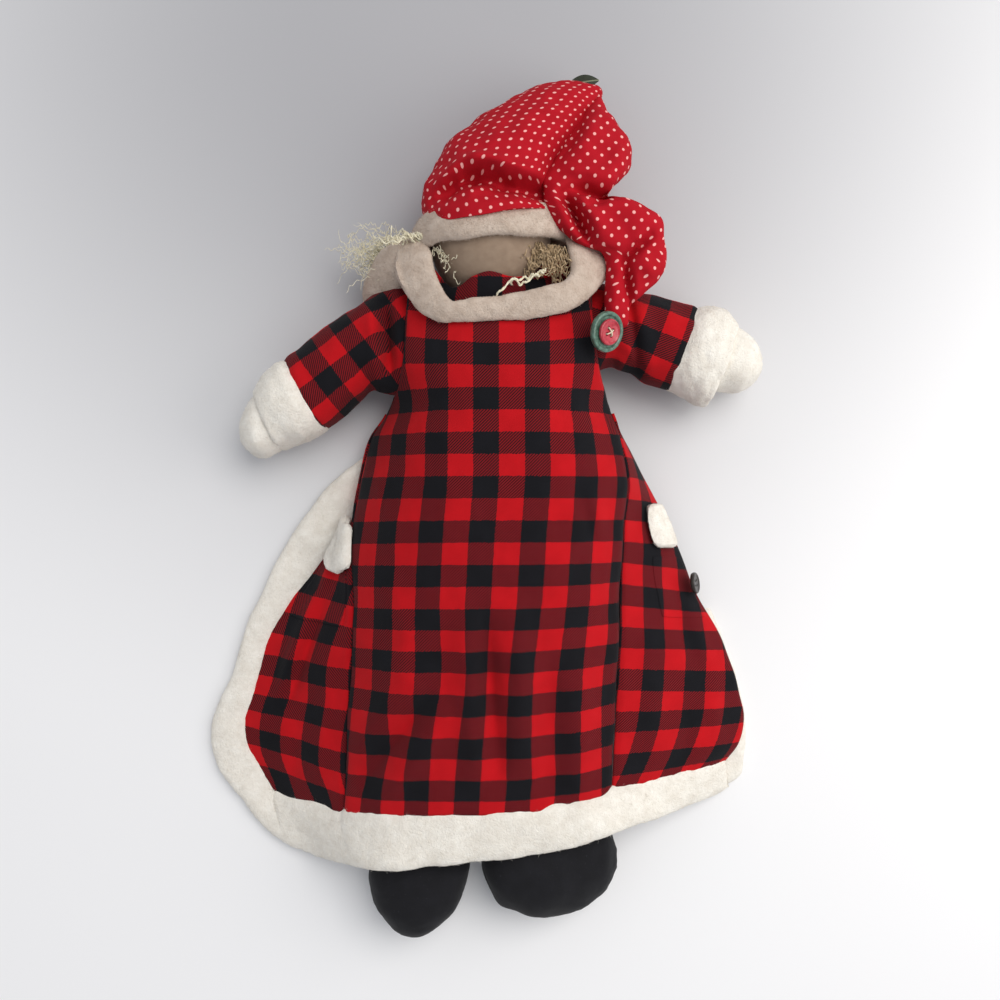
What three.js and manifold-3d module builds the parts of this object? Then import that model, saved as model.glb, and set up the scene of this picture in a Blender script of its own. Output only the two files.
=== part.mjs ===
// Cloth santa doll lying on its front, with its coat spread open.
// Millimetres, +Z up out of the doll's back, +Y towards its head. The doll's left is -X.
import * as THREE from "three";
import { mergeVertices } from "three/addons/utils/BufferGeometryUtils.js";
import Module from "manifold-3d";

const wasm = await Module();
wasm.setup();

// Driving dimensions. Positions are in the doll's own frame, with its spine on x = 0.
const FOOTPRINT_X = 8.3; // moves the middle of the footprint onto the origin
const FOOTPRINT_Y = 1.9;
const GAP = 0.4; // between two pieces that are sewn or pressed together
const CLOTH = 2; // flannel with its lining
const COVER = 1.6; // cloth skin round a stuffed form

const TORSO_WIDTH = 92;
const TORSO_DEPTH = 61;
const SHOULDER_WIDTH = 76;
const HIP_WIDTH = 78;
const TORSO_BASE_Y = -60;
const TORSO_TOP_Y = 100;

const HEAD_RADIUS = 30;
const HEAD_CENTRE = new THREE.Vector3(-4.5, 129, 36);
const NECK_RADIUS = 17;
const NECK_PIVOT = new THREE.Vector3(-4.5, 104, 36);
const NECK_HOLE = 8;
const NOSE_RADIUS = 5.6;
const EYE_RADIUS = 2.4;
const EYE_SPACING = 21;
const EYE_DROP = 7.5; // eyes and nose below the middle of the head, under the brim
const NOSE_DROP = 14.5;

const ARM_RADIUS = 17.5;
const ARM_HEIGHT = 24; // axis above the table
const SHOULDER_X = 53.5;
const SLEEVE_WALL = 1.6;
const SLEEVE_TOP = 26; // half the armhole
const SLEEVE_END = 20; // half the wrist
const CUFF_LENGTH = 21;
const CUFF_HALF = 22.5;
const MITTEN_LENGTH = 26;
const MITTEN_HALF = 16.5;

const LEG_RADIUS = 17;
const LEG_HEIGHT = 20;
const HIP_X = 20;
const BOOT_LENGTH = 70;
const BOOT_WIDTH = 51;
const BOOT_DEPTH = 44;

const COAT_EASE = 1.4; // cloth's middle above the torso's back
const TRIM_WIDTH = 21;
const TRIM_THICKNESS = 8;
const FRONT_TRIM_WIDTH = 18;
const COLLAR_HALF = 8;
const COLLAR_THICKNESS = 9;
const POCKET_THICKNESS = 1.4;
const POCKET_CUFF_HEIGHT = 26;
const POCKET_BUTTON_RADIUS = 5.6;
const POCKET_BUTTON_THICKNESS = 2.4;

const BRIM_WIDTH = 14;
const BRIM_THICKNESS = 5;
const CROWN_WALL = 1.6;
const TAIL_BUTTON_RADIUS = 10;
const TAIL_BUTTON_THICKNESS = 3;
const TAIL_BUTTON_TILT = 40;
const CENTRE_BUTTON_RADIUS = 6.3;
const CENTRE_BUTTON_THICKNESS = 2.4;
const BUTTON_HOLE_RADIUS = 1;
const BUTTON_HOLE_SPACING = 3.6;
const THREAD_RADIUS = 0.55;

// Materials
function cloth(color, roughness = 0.95) {
  return () => new THREE.MeshStandardMaterial({ color, roughness, metalness: 0 });
}
const checkedFlannel = cloth(0x8c1a1e);
const dottedCotton = cloth(0xb81c26);
const fleece = cloth(0xf0ece2);
const muslin = cloth(0xe0d6c4);
const blackFelt = cloth(0x1e1e22);
const fibrefill = cloth(0xf4f2ec);
const yarn = cloth(0xe4d8b0);
const greenPlastic = cloth(0x5d8573, 0.35);
const redPlastic = cloth(0xc8404f, 0.35);
const darkPlastic = cloth(0x241c18, 0.35);
const blackBead = cloth(0x101012, 0.25);
const cottonThread = cloth(0xe8dfc8);
const sprigLeaf = cloth(0x3c4434);

const doll = new THREE.Group();
doll.position.set(FOOTPRINT_X, FOOTPRINT_Y, 0);

function piece(name, geometry, material) {
  geometry.computeVertexNormals();
  const mesh = new THREE.Mesh(geometry, material());
  mesh.name = name;
  doll.add(mesh);
  return mesh;
}

// Geometry from points and triangles, turned so that its faces point out
function surface(points, faces) {
  const volume = faces.reduce((sum, [a, b, c]) => {
    const normal = new THREE.Vector3().crossVectors(points[b], points[c]);
    return sum + points[a].dot(normal);
  }, 0);
  const outward = volume > 0 ? faces : faces.map(([a, b, c]) => [a, c, b]);
  const geometry = new THREE.BufferGeometry().setFromPoints(points);
  geometry.setIndex(outward.flat());
  return geometry;
}

// Closed skin over a row of rings, with a lid on each end, or bent round into a loop
function skin(rings, loop = false) {
  const sides = rings[0].length;
  const points = rings.flat();
  const faces = [];
  const bands = loop ? rings.length : rings.length - 1;
  for (let ring = 0; ring < bands; ring++) {
    const next = (ring + 1) % rings.length;
    for (let side = 0; side < sides; side++) {
      const turn = (side + 1) % sides;
      const corners = [ring * sides + side, ring * sides + turn, next * sides + turn, next * sides + side];
      faces.push([corners[0], corners[1], corners[2]], [corners[0], corners[2], corners[3]]);
    }
  }
  const lid = (ring, flip) => {
    const middle = new THREE.Vector3();
    rings[ring].forEach((point) => middle.addScaledVector(point, 1 / sides));
    points.push(middle);
    for (let side = 0; side < sides; side++) {
      const edge = [ring * sides + side, ring * sides + ((side + 1) % sides)];
      faces.push(flip ? [edge[1], edge[0], points.length - 1] : [...edge, points.length - 1]);
    }
  };
  if (!loop) {
    lid(0, true);
    lid(rings.length - 1, false);
  }
  return surface(points, faces);
}

// Closed sheet of even thickness about a grid of points
function sheet(grid, thickness) {
  const rows = grid.length;
  const columns = grid[0].length;
  const clampRow = (row) => grid[THREE.MathUtils.clamp(row, 0, rows - 1)];
  const points = [];
  for (const side of [0.5, -0.5]) {
    grid.forEach((line, row) => line.forEach((point, column) => {
      const along = clampRow(row + 1)[column].clone().sub(clampRow(row - 1)[column]);
      const left = line[Math.max(column - 1, 0)];
      const across = line[Math.min(column + 1, columns - 1)].clone().sub(left);
      const normal = across.cross(along).normalize();
      if (normal.z < 0) normal.negate();
      points.push(point.clone().addScaledVector(normal, side * thickness));
    }));
  }
  const under = rows * columns;
  const faces = [];
  const quad = (a, b, c, d) => faces.push([a, b, c], [a, c, d]);
  for (let row = 0; row < rows - 1; row++) {
    for (let column = 0; column < columns - 1; column++) {
      const a = row * columns + column;
      quad(a, a + 1, a + columns + 1, a + columns);
      quad(under + a, under + a + columns, under + a + columns + 1, under + a + 1);
    }
    for (const [column, flip] of [[0, false], [columns - 1, true]]) {
      const a = row * columns + column;
      const edge = [a, a + columns, under + a + columns, under + a];
      quad(...(flip ? edge.reverse() : edge));
    }
  }
  for (let column = 0; column < columns - 1; column++) {
    for (const [row, flip] of [[0, true], [rows - 1, false]]) {
      const a = row * columns + column;
      const edge = [a, a + 1, under + a + 1, under + a];
      quad(...(flip ? edge.reverse() : edge));
    }
  }
  return surface(points, faces);
}

// Smooth values between rows of [position, ...sizes]
function through(rows) {
  const stride = rows[0].length - 1;
  const positions = rows.map((row) => row[0]);
  const sizes = rows.flatMap((row) => row.slice(1));
  const curve = new THREE.CubicInterpolant(positions, sizes, stride, new Float64Array(stride));
  return (position) => Array.from(curve.evaluate(position));
}

function steps(from, to, count) {
  return Array.from({ length: count + 1 }, (_, i) => THREE.MathUtils.lerp(from, to, i / count));
}

// Rounded section across a heading in plan, flat where it rests on the table
function section(centre, heading, wide, low, high, sides) {
  const middle = (low + high) / 2;
  const half = (high - low) / 2;
  return steps(0, 2 * Math.PI, sides).slice(0, -1).map((angle) => new THREE.Vector3(
    centre.x - Math.sin(heading) * wide * Math.cos(angle),
    centre.y + Math.cos(heading) * wide * Math.cos(angle),
    Math.max(0, middle + half * Math.sin(angle)),
  ));
}

const ALONG_SPINE = Math.PI / 2;
const ROUND_END = [0.12, 0.45, 0.85, 1.25].map((angle) => [Math.cos(angle), Math.sin(angle)]);

// Booleans
function toManifold(geometry) {
  const bare = geometry.clone();
  bare.deleteAttribute("normal");
  bare.deleteAttribute("uv");
  const merged = mergeVertices(bare, 1e-4);
  const vertProperties = new Float32Array(merged.attributes.position.array);
  const triVerts = new Uint32Array(merged.index.array);
  return new wasm.Manifold(new wasm.Mesh({ numProp: 3, vertProperties, triVerts }));
}

function fromManifold(solid) {
  const mesh = solid.getMesh();
  const geometry = new THREE.BufferGeometry();
  geometry.setAttribute("position", new THREE.BufferAttribute(mesh.vertProperties, 3));
  geometry.setIndex(new THREE.BufferAttribute(mesh.triVerts, 1));
  return geometry;
}

function cut(geometry, ...tools) {
  return fromManifold(tools.reduce((solid, tool) => solid.subtract(toManifold(tool)), toManifold(geometry)));
}

function join(...geometries) {
  return fromManifold(geometries.map(toManifold).reduce((solid, other) => solid.add(other)));
}

function ball(centre, radius, segments = 20) {
  return new THREE.SphereGeometry(radius, segments, segments * 0.6).translate(...centre.toArray());
}

// Torso: a stuffed checked cover, flat where it lies, with a socket at the top for the neck
const torsoAt = through([
  [TORSO_BASE_Y, HIP_WIDTH / 2, 4, TORSO_DEPTH - 9],
  [-42, TORSO_WIDTH / 2 - 1, -4, TORSO_DEPTH - 2],
  [0, TORSO_WIDTH / 2, -4, TORSO_DEPTH],
  [40, TORSO_WIDTH / 2 - 2, -2, TORSO_DEPTH],
  [64, SHOULDER_WIDTH / 2 + 2, 6, TORSO_DEPTH - 2],
  [84, SHOULDER_WIDTH / 2, 12, TORSO_DEPTH - 4],
  [95, SHOULDER_WIDTH / 2 - 5, 17, TORSO_DEPTH - 6],
  [TORSO_TOP_Y, NECK_RADIUS + 8, 20, TORSO_DEPTH - 8],
]);
const TORSO_STATIONS = [TORSO_BASE_Y, -50, -36, -10, 20, 44, 64, 80, 90, 96, TORSO_TOP_Y];

function torsoRings(inset) {
  return TORSO_STATIONS.map((y) => {
    const [wide, low, high] = torsoAt(y);
    const along = THREE.MathUtils.clamp(y, TORSO_BASE_Y + inset, TORSO_TOP_Y - inset);
    const floor = Math.max(low, 0) + inset;
    return section(new THREE.Vector3(0, along, 0), ALONG_SPINE, wide - inset, low + inset, high - inset, 18)
      .map((point) => point.setZ(Math.max(point.z, floor)));
  });
}

const neckSocket = ball(NECK_PIVOT, NECK_RADIUS + GAP, 20);
const torsoHollow = skin(torsoRings(COVER));
piece("torso_cover", cut(skin(torsoRings(0)), torsoHollow, neckSocket), checkedFlannel);
piece("torso_stuffing", cut(skin(torsoRings(COVER + GAP)), neckSocket), fibrefill);

// Head: a stuffed muslin ball on a rounded neck, turned about the spine
function headProfile(inset) {
  const neck = steps(0, Math.PI / 2, 4).map((angle) => [
    (NECK_RADIUS - inset) * Math.sin(angle),
    NECK_PIVOT.y - (NECK_RADIUS - inset) * Math.cos(angle),
  ]);
  const jaw = Math.asin((NECK_RADIUS + 4) / HEAD_RADIUS);
  const skull = steps(jaw, Math.PI, 9).map((angle) => [
    (HEAD_RADIUS - inset) * Math.sin(angle),
    HEAD_CENTRE.y - (HEAD_RADIUS - inset) * Math.cos(angle),
  ]);
  return [...neck, ...skull].map(([radius, y]) => new THREE.Vector2(Math.max(radius, 0), y));
}

function turned(profile, segments) {
  const lathe = new THREE.LatheGeometry(profile, segments);
  lathe.translate(HEAD_CENTRE.x, 0, HEAD_CENTRE.z);
  return mergeVertices(stripped(lathe), 1e-4);
}

function stripped(geometry) {
  geometry.deleteAttribute("normal");
  geometry.deleteAttribute("uv");
  return geometry;
}

const headForm = turned(headProfile(0), 20);
const headSpace = turned(headProfile(-GAP), 20);
const headHollow = turned(headProfile(COVER), 20);
const neckDrill = new THREE.CylinderGeometry(NECK_HOLE, NECK_HOLE, NECK_RADIUS, 16)
  .translate(NECK_PIVOT.x, NECK_PIVOT.y - NECK_RADIUS, NECK_PIVOT.z);
piece("head_cover", cut(headForm, headHollow, neckDrill), muslin);
piece("head_stuffing", turned(headProfile(COVER + GAP), 16), fibrefill);

// Face: a stuffed nose and two bead eyes
const onFace = (x, y, sink) => {
  const depth = Math.sqrt(HEAD_RADIUS ** 2 - x ** 2 - (y - HEAD_CENTRE.y) ** 2) - sink;
  return new THREE.Vector3(HEAD_CENTRE.x + x, y, HEAD_CENTRE.z - depth);
};
const noseCentre = onFace(0, HEAD_CENTRE.y - NOSE_DROP, 0.8);
piece("nose", cut(ball(noseCentre, NOSE_RADIUS, 14), headSpace), muslin);
for (const [name, side] of [["left_eye", -1], ["right_eye", 1]]) {
  const centre = onFace((side * EYE_SPACING) / 2, HEAD_CENTRE.y - EYE_DROP, 0.4);
  piece(name, cut(ball(centre, EYE_RADIUS, 10), headSpace), blackBead);
}

// Yarn: each bunch is one swelling form, cut to sit on the head
function bunch(rows, count, sides) {
  const at = through(rows);
  return skin(steps(rows[0][0], rows.at(-1)[0], count).map((y) => {
    const [x, wide, low, high] = at(y);
    return section(new THREE.Vector3(x, y, 0), ALONG_SPINE, wide, low, high, sides);
  }));
}

const BEARD_TOP_Y = 107;
piece("beard", cut(bunch([
  [76, HEAD_CENTRE.x, 6, 1, 5],
  [82, HEAD_CENTRE.x, 16, 0, 8],
  [92, HEAD_CENTRE.x, 24, 0, 12],
  [101, HEAD_CENTRE.x, 27, 0, 17],
  [BEARD_TOP_Y, HEAD_CENTRE.x, 24, 1, 18],
], 7, 14), headSpace), yarn);
piece("moustache", cut(bunch([
  [BEARD_TOP_Y + GAP, HEAD_CENTRE.x, 14, 1, 16],
  [109.5, HEAD_CENTRE.x, 16, 0, 16],
  [112, HEAD_CENTRE.x, 11, 2, 15],
], 3, 12), headSpace, ball(noseCentre, NOSE_RADIUS + GAP, 14)), yarn);
piece("hair_right", cut(bunch([
  [111, 18, 4, 50, 56],
  [115, 19, 8, 46, 59],
  [121, 20, 8, 46, 61],
  [125, 18, 4, 50, 60],
], 5, 12), headSpace), yarn);

// Hat brim: a fleece band round the head
const BRIM_LOW_Y = 126;
const brimCentre = BRIM_LOW_Y + BRIM_WIDTH / 2;
const brimRadius = HEAD_RADIUS + 1.5 * GAP + BRIM_THICKNESS / 2;
function brimBand(grow) {
  const outline = steps(0, 2 * Math.PI, 8).map((angle) => new THREE.Vector2(
    brimRadius + (BRIM_THICKNESS / 2 + grow) * Math.cos(angle),
    brimCentre + (BRIM_WIDTH / 2 + grow) * Math.sign(Math.sin(angle)) * Math.abs(Math.sin(angle)) ** 0.6,
  ));
  outline[outline.length - 1].copy(outline[0]);
  return turned(outline, 24);
}
piece("hat_brim", brimBand(0), fleece);

// Hat crown: a dotted cap that leans over to the right and folds at the top
const CROWN_BASE_Y = BRIM_LOW_Y + BRIM_WIDTH + GAP;
const crownLine = new THREE.CatmullRomCurve3([
  new THREE.Vector3(HEAD_CENTRE.x, CROWN_BASE_Y, 36),
  new THREE.Vector3(-7, 158, 36),
  new THREE.Vector3(6, 178, 33),
  new THREE.Vector3(28, 201, 28),
  new THREE.Vector3(45, 211, 24),
]);
const CROWN_LENGTH = crownLine.getLength();
const crownAt = through([
  // share of the line, half width, half depth
  [0, 34.5, 34.5],
  [0.2, 30, 34],
  [0.45, 23.5, 29],
  [0.75, 16, 19],
  [0.94, 9, 11],
  [1, 3, 4],
]);
function crownRings(inset) {
  return [0, 0.1, 0.2, 0.32, 0.45, 0.6, 0.75, 0.87, 0.95, 1].map((share) => {
    const centre = crownLine.getPoint(share * (1 - inset / CROWN_LENGTH));
    const tangent = crownLine.getTangent(share);
    const lean = THREE.MathUtils.smoothstep(share, 0.1, 0.6);
    const heading = THREE.MathUtils.lerp(ALONG_SPINE, Math.atan2(tangent.y, tangent.x), lean);
    const [wide, deep] = crownAt(share).map((half) => Math.max(half - inset, 0.6));
    return section(centre, heading, wide, centre.z - deep, centre.z + deep, 20);
  });
}
const crownSpace = skin(crownRings(-GAP));
piece("hat_crown", skin([...crownRings(0).reverse(), ...crownRings(CROWN_WALL)]), dottedCotton);

piece("hair_left", cut(bunch([
  [128, -52, 5, 33, 39],
  [133, -50, 12, 30, 42],
  [139, -50, 12, 30, 42],
  [143, -52, 5, 33, 39],
], 5, 12), brimBand(GAP), crownSpace), yarn);

// Sprig on the front of the crown: pointed leaves on a stem, their tips past the top edge
function leaf(from, to, half) {
  const line = to.clone().sub(from);
  const heading = Math.atan2(line.y, line.x);
  return skin([0.02, 0.2, 0.5, 0.8, 0.98].map((share) => {
    const centre = from.clone().addScaledVector(line, share);
    const wide = half * Math.sin(Math.PI * share) + 0.3;
    return section(centre, heading, wide, centre.z - 0.7, centre.z + 0.7, 8);
  }));
}
const sprigFoot = new THREE.Vector3(18, 188, 7);
piece("hat_sprig", cut(join(
  leaf(sprigFoot, new THREE.Vector3(12, 208, 9), 3),
  leaf(sprigFoot, new THREE.Vector3(31, 219, 11), 3.4),
  leaf(sprigFoot, new THREE.Vector3(42, 220, 13), 3.2),
), crownSpace), sprigLeaf);

// Hat tail: the crown's point, folded over to the right in three lobes
const tailAt = through([
  // distance along the spine, left edge, right edge, height at the left, at the right, half thickness
  [79, 51, 60, 50.5, 50.5, 2.4],
  [88, 50, 63, 51.5, 51.5, 3],
  [97, 49, 67, 53, 53, 3.6],
  [105, 49.5, 76, 55, 52, 5],
  [113, 49, 80, 55.5, 50, 6],
  [124, 37, 80, 57, 49, 6.5],
  [133, 30, 78.5, 60, 48, 6],
  [140, 26, 70, 58.5, 48.5, 5.5],
  [147, 22.5, 52.5, 56, 50, 5.5],
  [155, 19, 56, 49, 44, 7.5],
  [166, 24.5, 66, 43, 39, 9.5],
  [177, 30, 67.5, 39, 35, 10],
  [188, 36.5, 65, 35, 32, 9],
  [200, 44.5, 59, 30.5, 30, 7.5],
  [208, 50, 55, 28, 28, 3],
]);
const TAIL_STATIONS = [
  79, 88, 97, 105, 112, 118, 124, 129, 134, 140, 145, 149, 155, 165, 176, 188, 199, 208,
];
const tailForm = skin(TAIL_STATIONS.map((y) => {
  const [left, right, leftHeight, rightHeight, half] = tailAt(y);
  return steps(0, 2 * Math.PI, 16).slice(0, -1).map((angle) => {
    const share = (1 + Math.cos(angle)) / 2;
    const height = THREE.MathUtils.lerp(leftHeight, rightHeight, share);
    return new THREE.Vector3(
      THREE.MathUtils.lerp(left, right, share), y, height + half * Math.sin(angle));
  });
}));
piece("hat_tail", cut(tailForm, crownSpace, brimBand(GAP)), dottedCotton);

// Stacked buttons on the end of the tail: a rimmed disc, a smaller four-hole disc and the thread
const buttonStack = new THREE.Group();
buttonStack.position.set(52, 82, 60.2);
buttonStack.rotation.set(0, THREE.MathUtils.degToRad(TAIL_BUTTON_TILT), THREE.MathUtils.degToRad(-18));
buttonStack.rotation.order = "ZYX";
doll.add(buttonStack);

const holePlaces = [45, 135, 225, 315].map((angle) => {
  const reach = BUTTON_HOLE_SPACING / Math.SQRT2;
  const turn = THREE.MathUtils.degToRad(angle);
  return new THREE.Vector2(reach * Math.cos(turn), reach * Math.sin(turn));
});

function rod(place, from, to, radius) {
  return new THREE.CylinderGeometry(radius, radius, to - from, 8)
    .rotateX(Math.PI / 2)
    .translate(place.x, place.y, (from + to) / 2);
}

function dished(radius, thickness, rim, dish, segments) {
  const top = thickness / 2;
  const profile = [
    [0, -top],
    [radius - 0.8, -top],
    [radius, -top + 0.8],
    [radius, top - 0.6],
    [radius - rim / 2, top],
    [radius - rim, top - dish],
    [0, top - dish],
  ].map(([r, z]) => new THREE.Vector2(r, z));
  return mergeVertices(stripped(new THREE.LatheGeometry(profile, segments)), 1e-4).rotateX(Math.PI / 2);
}

function stacked(name, geometry, material) {
  const mesh = piece(name, geometry, material);
  buttonStack.add(mesh);
}

const DISH = 0.7;
const seatHeight = TAIL_BUTTON_THICKNESS / 2 - DISH + GAP / 2;
const centreHeight = seatHeight + CENTRE_BUTTON_THICKNESS / 2;
const topHeight = seatHeight + CENTRE_BUTTON_THICKNESS - DISH;
const holeRods = holePlaces.map((place) => rod(place, -10, 10, BUTTON_HOLE_RADIUS));
stacked("tail_button_rim",
  cut(dished(TAIL_BUTTON_RADIUS, TAIL_BUTTON_THICKNESS, 3, DISH, 28), ...holeRods), greenPlastic);
stacked("tail_button_centre",
  cut(dished(CENTRE_BUTTON_RADIUS, CENTRE_BUTTON_THICKNESS, 1.8, DISH, 22).translate(0, 0, centreHeight),
    ...holeRods), redPlastic);
const stitchHeight = topHeight + GAP / 2 + THREAD_RADIUS;
const stitches = [[0, 2], [1, 3]].map(([from, to]) => {
  const length = holePlaces[from].distanceTo(holePlaces[to]) + 2 * THREAD_RADIUS;
  return new THREE.BoxGeometry(length, 2 * THREAD_RADIUS, 2 * THREAD_RADIUS)
    .rotateZ(THREE.MathUtils.degToRad(45 + 90 * from))
    .translate(0, 0, stitchHeight);
});
const threadLegs = holePlaces.map((place) =>
  rod(place, -TAIL_BUTTON_THICKNESS / 2, stitchHeight, 0.8 * THREAD_RADIUS));
stacked("tail_button_thread", join(...stitches, ...threadLegs), cottonThread);

// Arms: a stuffed arm with a rounded shoulder, a sleeve, a fleece cuff and a mitten, along a heading
function arm(side, { pivot, heading, sleeveLength, square }) {
  const reach = new THREE.Vector3(Math.cos(heading), Math.sin(heading), 0);
  const at = (distance) => pivot.clone().addScaledVector(reach, distance);
  const ringAt = (distance, wide, half, turn = heading, sides = 16) =>
    section(at(distance), turn, wide, ARM_HEIGHT - half, ARM_HEIGHT + half, sides);

  const armLength = sleeveLength + CUFF_LENGTH / 2;
  const shoulder = ROUND_END.map(([back, share]) =>
    ringAt(-ARM_RADIUS * back, ARM_RADIUS * share, ARM_RADIUS * share));
  const wrist = MITTEN_HALF - 1.5;
  const upperArm = [ringAt(0, ARM_RADIUS, ARM_RADIUS), ringAt(armLength, wrist, wrist)];
  piece(`${side}_arm`, skin([...shoulder, ...upperArm]), muslin);

  const sleeveRows = [
    [2, SLEEVE_TOP, 21.5],
    [sleeveLength * 0.3, SLEEVE_TOP - 2.5, 21.5],
    [sleeveLength * 0.65, SLEEVE_END + 1.5, 21],
    [sleeveLength, SLEEVE_END, 20.5],
  ];
  const sleeveRings = (inset) => sleeveRows.map(([distance, wide, half], row) => {
    const turn = THREE.MathUtils.lerp(square, heading, Math.min(1, row / 2));
    return ringAt(distance, wide - inset, half - inset, turn);
  });
  const sleeve = [...sleeveRings(0), ...sleeveRings(SLEEVE_WALL).reverse()];
  piece(`${side}_sleeve`, skin(sleeve, true), checkedFlannel);

  const cuffStart = sleeveLength + GAP;
  const cuffRows = [[0, -2], [0.15, 0], [0.5, 0.6], [0.85, 0], [1, -2]];
  const cuffOuter = cuffRows.map(([share, swell]) =>
    ringAt(cuffStart + share * CUFF_LENGTH, CUFF_HALF + swell, CUFF_HALF + swell));
  const bore = MITTEN_HALF + GAP;
  const cuffInner = cuffRows.map(([share]) => ringAt(cuffStart + share * CUFF_LENGTH, bore, bore));
  piece(`${side}_cuff`, skin([...cuffOuter, ...cuffInner.reverse()], true), fleece);

  const mittenStart = armLength + GAP;
  const mittenDepth = MITTEN_HALF - 2;
  const palm = sleeveLength + CUFF_LENGTH + MITTEN_LENGTH - MITTEN_HALF;
  const tip = ROUND_END.map(([ahead, share]) =>
    ringAt(palm + MITTEN_HALF * ahead, MITTEN_HALF * share, mittenDepth * share)).reverse();
  piece(`${side}_mitten`, skin([
    ringAt(mittenStart, MITTEN_HALF - 1, mittenDepth),
    ringAt(palm - 6, MITTEN_HALF, mittenDepth),
    ringAt(palm, MITTEN_HALF, mittenDepth),
    ...tip,
  ]), muslin);
}

arm("left", {
  pivot: new THREE.Vector3(-SHOULDER_X, 85, 0),
  heading: THREE.MathUtils.degToRad(211),
  square: Math.PI,
  sleeveLength: 57,
});
arm("right", {
  pivot: new THREE.Vector3(SHOULDER_X, 87, 0),
  heading: THREE.MathUtils.degToRad(-19),
  square: 0,
  sleeveLength: 42,
});

// Legs and boots: the left boot points away from the head, the right one is turned out to the side
function bootForm(rows, heading, grow) {
  const at = through(rows);
  return skin(steps(rows[0][0], rows.at(-1)[0], 9).map((along) => {
    const [middle, wide, low, high] = at(along);
    const centre = new THREE.Vector3(
      heading === 0 ? along : middle, heading === 0 ? middle : along, 0);
    return section(centre, heading, wide + grow, low - grow, high + grow, 16);
  }));
}

function leg(side, hip, ankle, boot) {
  const line = ankle.clone().sub(hip);
  const heading = Math.atan2(line.y, line.x);
  const reach = line.clone().normalize();
  const ringAt = (distance, radius) => section(hip.clone().addScaledVector(reach, distance), heading,
    radius, LEG_HEIGHT - radius, LEG_HEIGHT + radius, 14);
  const top = ROUND_END.map(([back, share]) => ringAt(-LEG_RADIUS * back, LEG_RADIUS * share));
  const form = skin([...top, ringAt(0, LEG_RADIUS), ringAt(line.length() * 0.5, LEG_RADIUS + 0.8),
    ringAt(line.length(), LEG_RADIUS - 1)]);
  piece(`${side}_leg`, cut(form, bootForm(boot.rows, boot.heading, GAP)), blackFelt);
  piece(`${side}_boot`, bootForm(boot.rows, boot.heading, 0), blackFelt);
}

const HIP_Y = TORSO_BASE_Y - GAP - LEG_RADIUS;
const LEFT_TOE_Y = -223.5;
const leftBootX = -42;
leg("left", new THREE.Vector3(-HIP_X, HIP_Y, 0), new THREE.Vector3(leftBootX + 2, LEFT_TOE_Y + 52, 0), {
  heading: ALONG_SPINE,
  rows: [
    [LEFT_TOE_Y, leftBootX, 5, 11, 23],
    [LEFT_TOE_Y + 6, leftBootX, 15, 4, 34],
    [LEFT_TOE_Y + 16, leftBootX, BOOT_WIDTH / 2 - 3, 0, BOOT_DEPTH - 4],
    [LEFT_TOE_Y + 30, leftBootX, BOOT_WIDTH / 2, -1, BOOT_DEPTH - 1],
    [LEFT_TOE_Y + 44, leftBootX, BOOT_WIDTH / 2 - 2, 0, BOOT_DEPTH - 2],
    [LEFT_TOE_Y + 58, leftBootX + 1, BOOT_WIDTH / 2 - 6, 2, BOOT_DEPTH - 5],
  ],
});
const HEEL_X = -9;
const rightBootY = -187;
leg("right", new THREE.Vector3(HIP_X, HIP_Y, 0), new THREE.Vector3(HEEL_X + 34, rightBootY + 14, 0), {
  heading: 0,
  rows: [
    [HEEL_X, rightBootY, 6, 8, 30],
    [HEEL_X + 6, rightBootY, 17, 3, 39],
    [HEEL_X + 19, rightBootY, 24, -1, BOOT_DEPTH - 1],
    [HEEL_X + 37, rightBootY, 28, -1, BOOT_DEPTH],
    [HEEL_X + 53, rightBootY, 24, -1, BOOT_DEPTH - 2],
    [HEEL_X + 64, rightBootY + 2, 15, 2, BOOT_DEPTH - 8],
    [HEEL_X + BOOT_LENGTH, rightBootY + 5, 5, 8, 26],
  ],
});

// Coat: three panels of one draped surface, from the neckline (0) to the hem (1)
const BACK_HEIGHT = TORSO_DEPTH + COAT_EASE;
const UNDERARM = 0.16;
const WAIST = 0.42;
const backAt = through([
  // share of the length, centre x y z, left seam x y z, right seam x y z
  [0, 0, 84.5, BACK_HEIGHT - 1, -47, 97, 45, 47, 97, 45],
  [0.08, 0, 64, BACK_HEIGHT, -50, 68, 45, 50, 68, 45],
  [UNDERARM, 0, 46, BACK_HEIGHT, -58, 46, 16, 58, 46, 24],
  [0.3, 0, 12, BACK_HEIGHT + 0.2, -72, 12, 15, 65, 12, 38],
  [WAIST, -2, -17, BACK_HEIGHT + 0.5, -77, -17, 28, 63, -17, 40],
  [0.56, -4, -52, BACK_HEIGHT, -76, -52, 32, 61.5, -50, 39],
  [0.78, -7, -105, BACK_HEIGHT - 5, -78.5, -105, 30, 59.5, -99, 38],
  [1, -10, -160, BACK_HEIGHT - 11.5, -81, -161, 29, 57, -148, 38],
]);
const leftEdgeAt = through([
  // share of the length, edge x y z
  [UNDERARM, -54, 46, 3],
  [0.3, -69, 12, 3.5],
  [WAIST, -84, -18, 4.5],
  [0.56, -110, -52, 5],
  [0.78, -131, -104, 5],
  [0.92, -135.6, -134, 5],
  [1, -122, -155, 5],
]);
const FOLD_HEIGHT = TRIM_THICKNESS + GAP + CLOTH / 2;
const rightEdgeAt = through([
  [UNDERARM, 63, 44, FOLD_HEIGHT],
  [0.3, 76, 14, FOLD_HEIGHT],
  [WAIST, 90, -14, FOLD_HEIGHT],
  [0.56, 106, -46, FOLD_HEIGHT],
  [0.78, 126, -96, FOLD_HEIGHT],
  [0.92, 128, -122, FOLD_HEIGHT],
  [1, 119, -139, FOLD_HEIGHT],
]);
const ARCH = 2.8; // how square the back stands over the body
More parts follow.
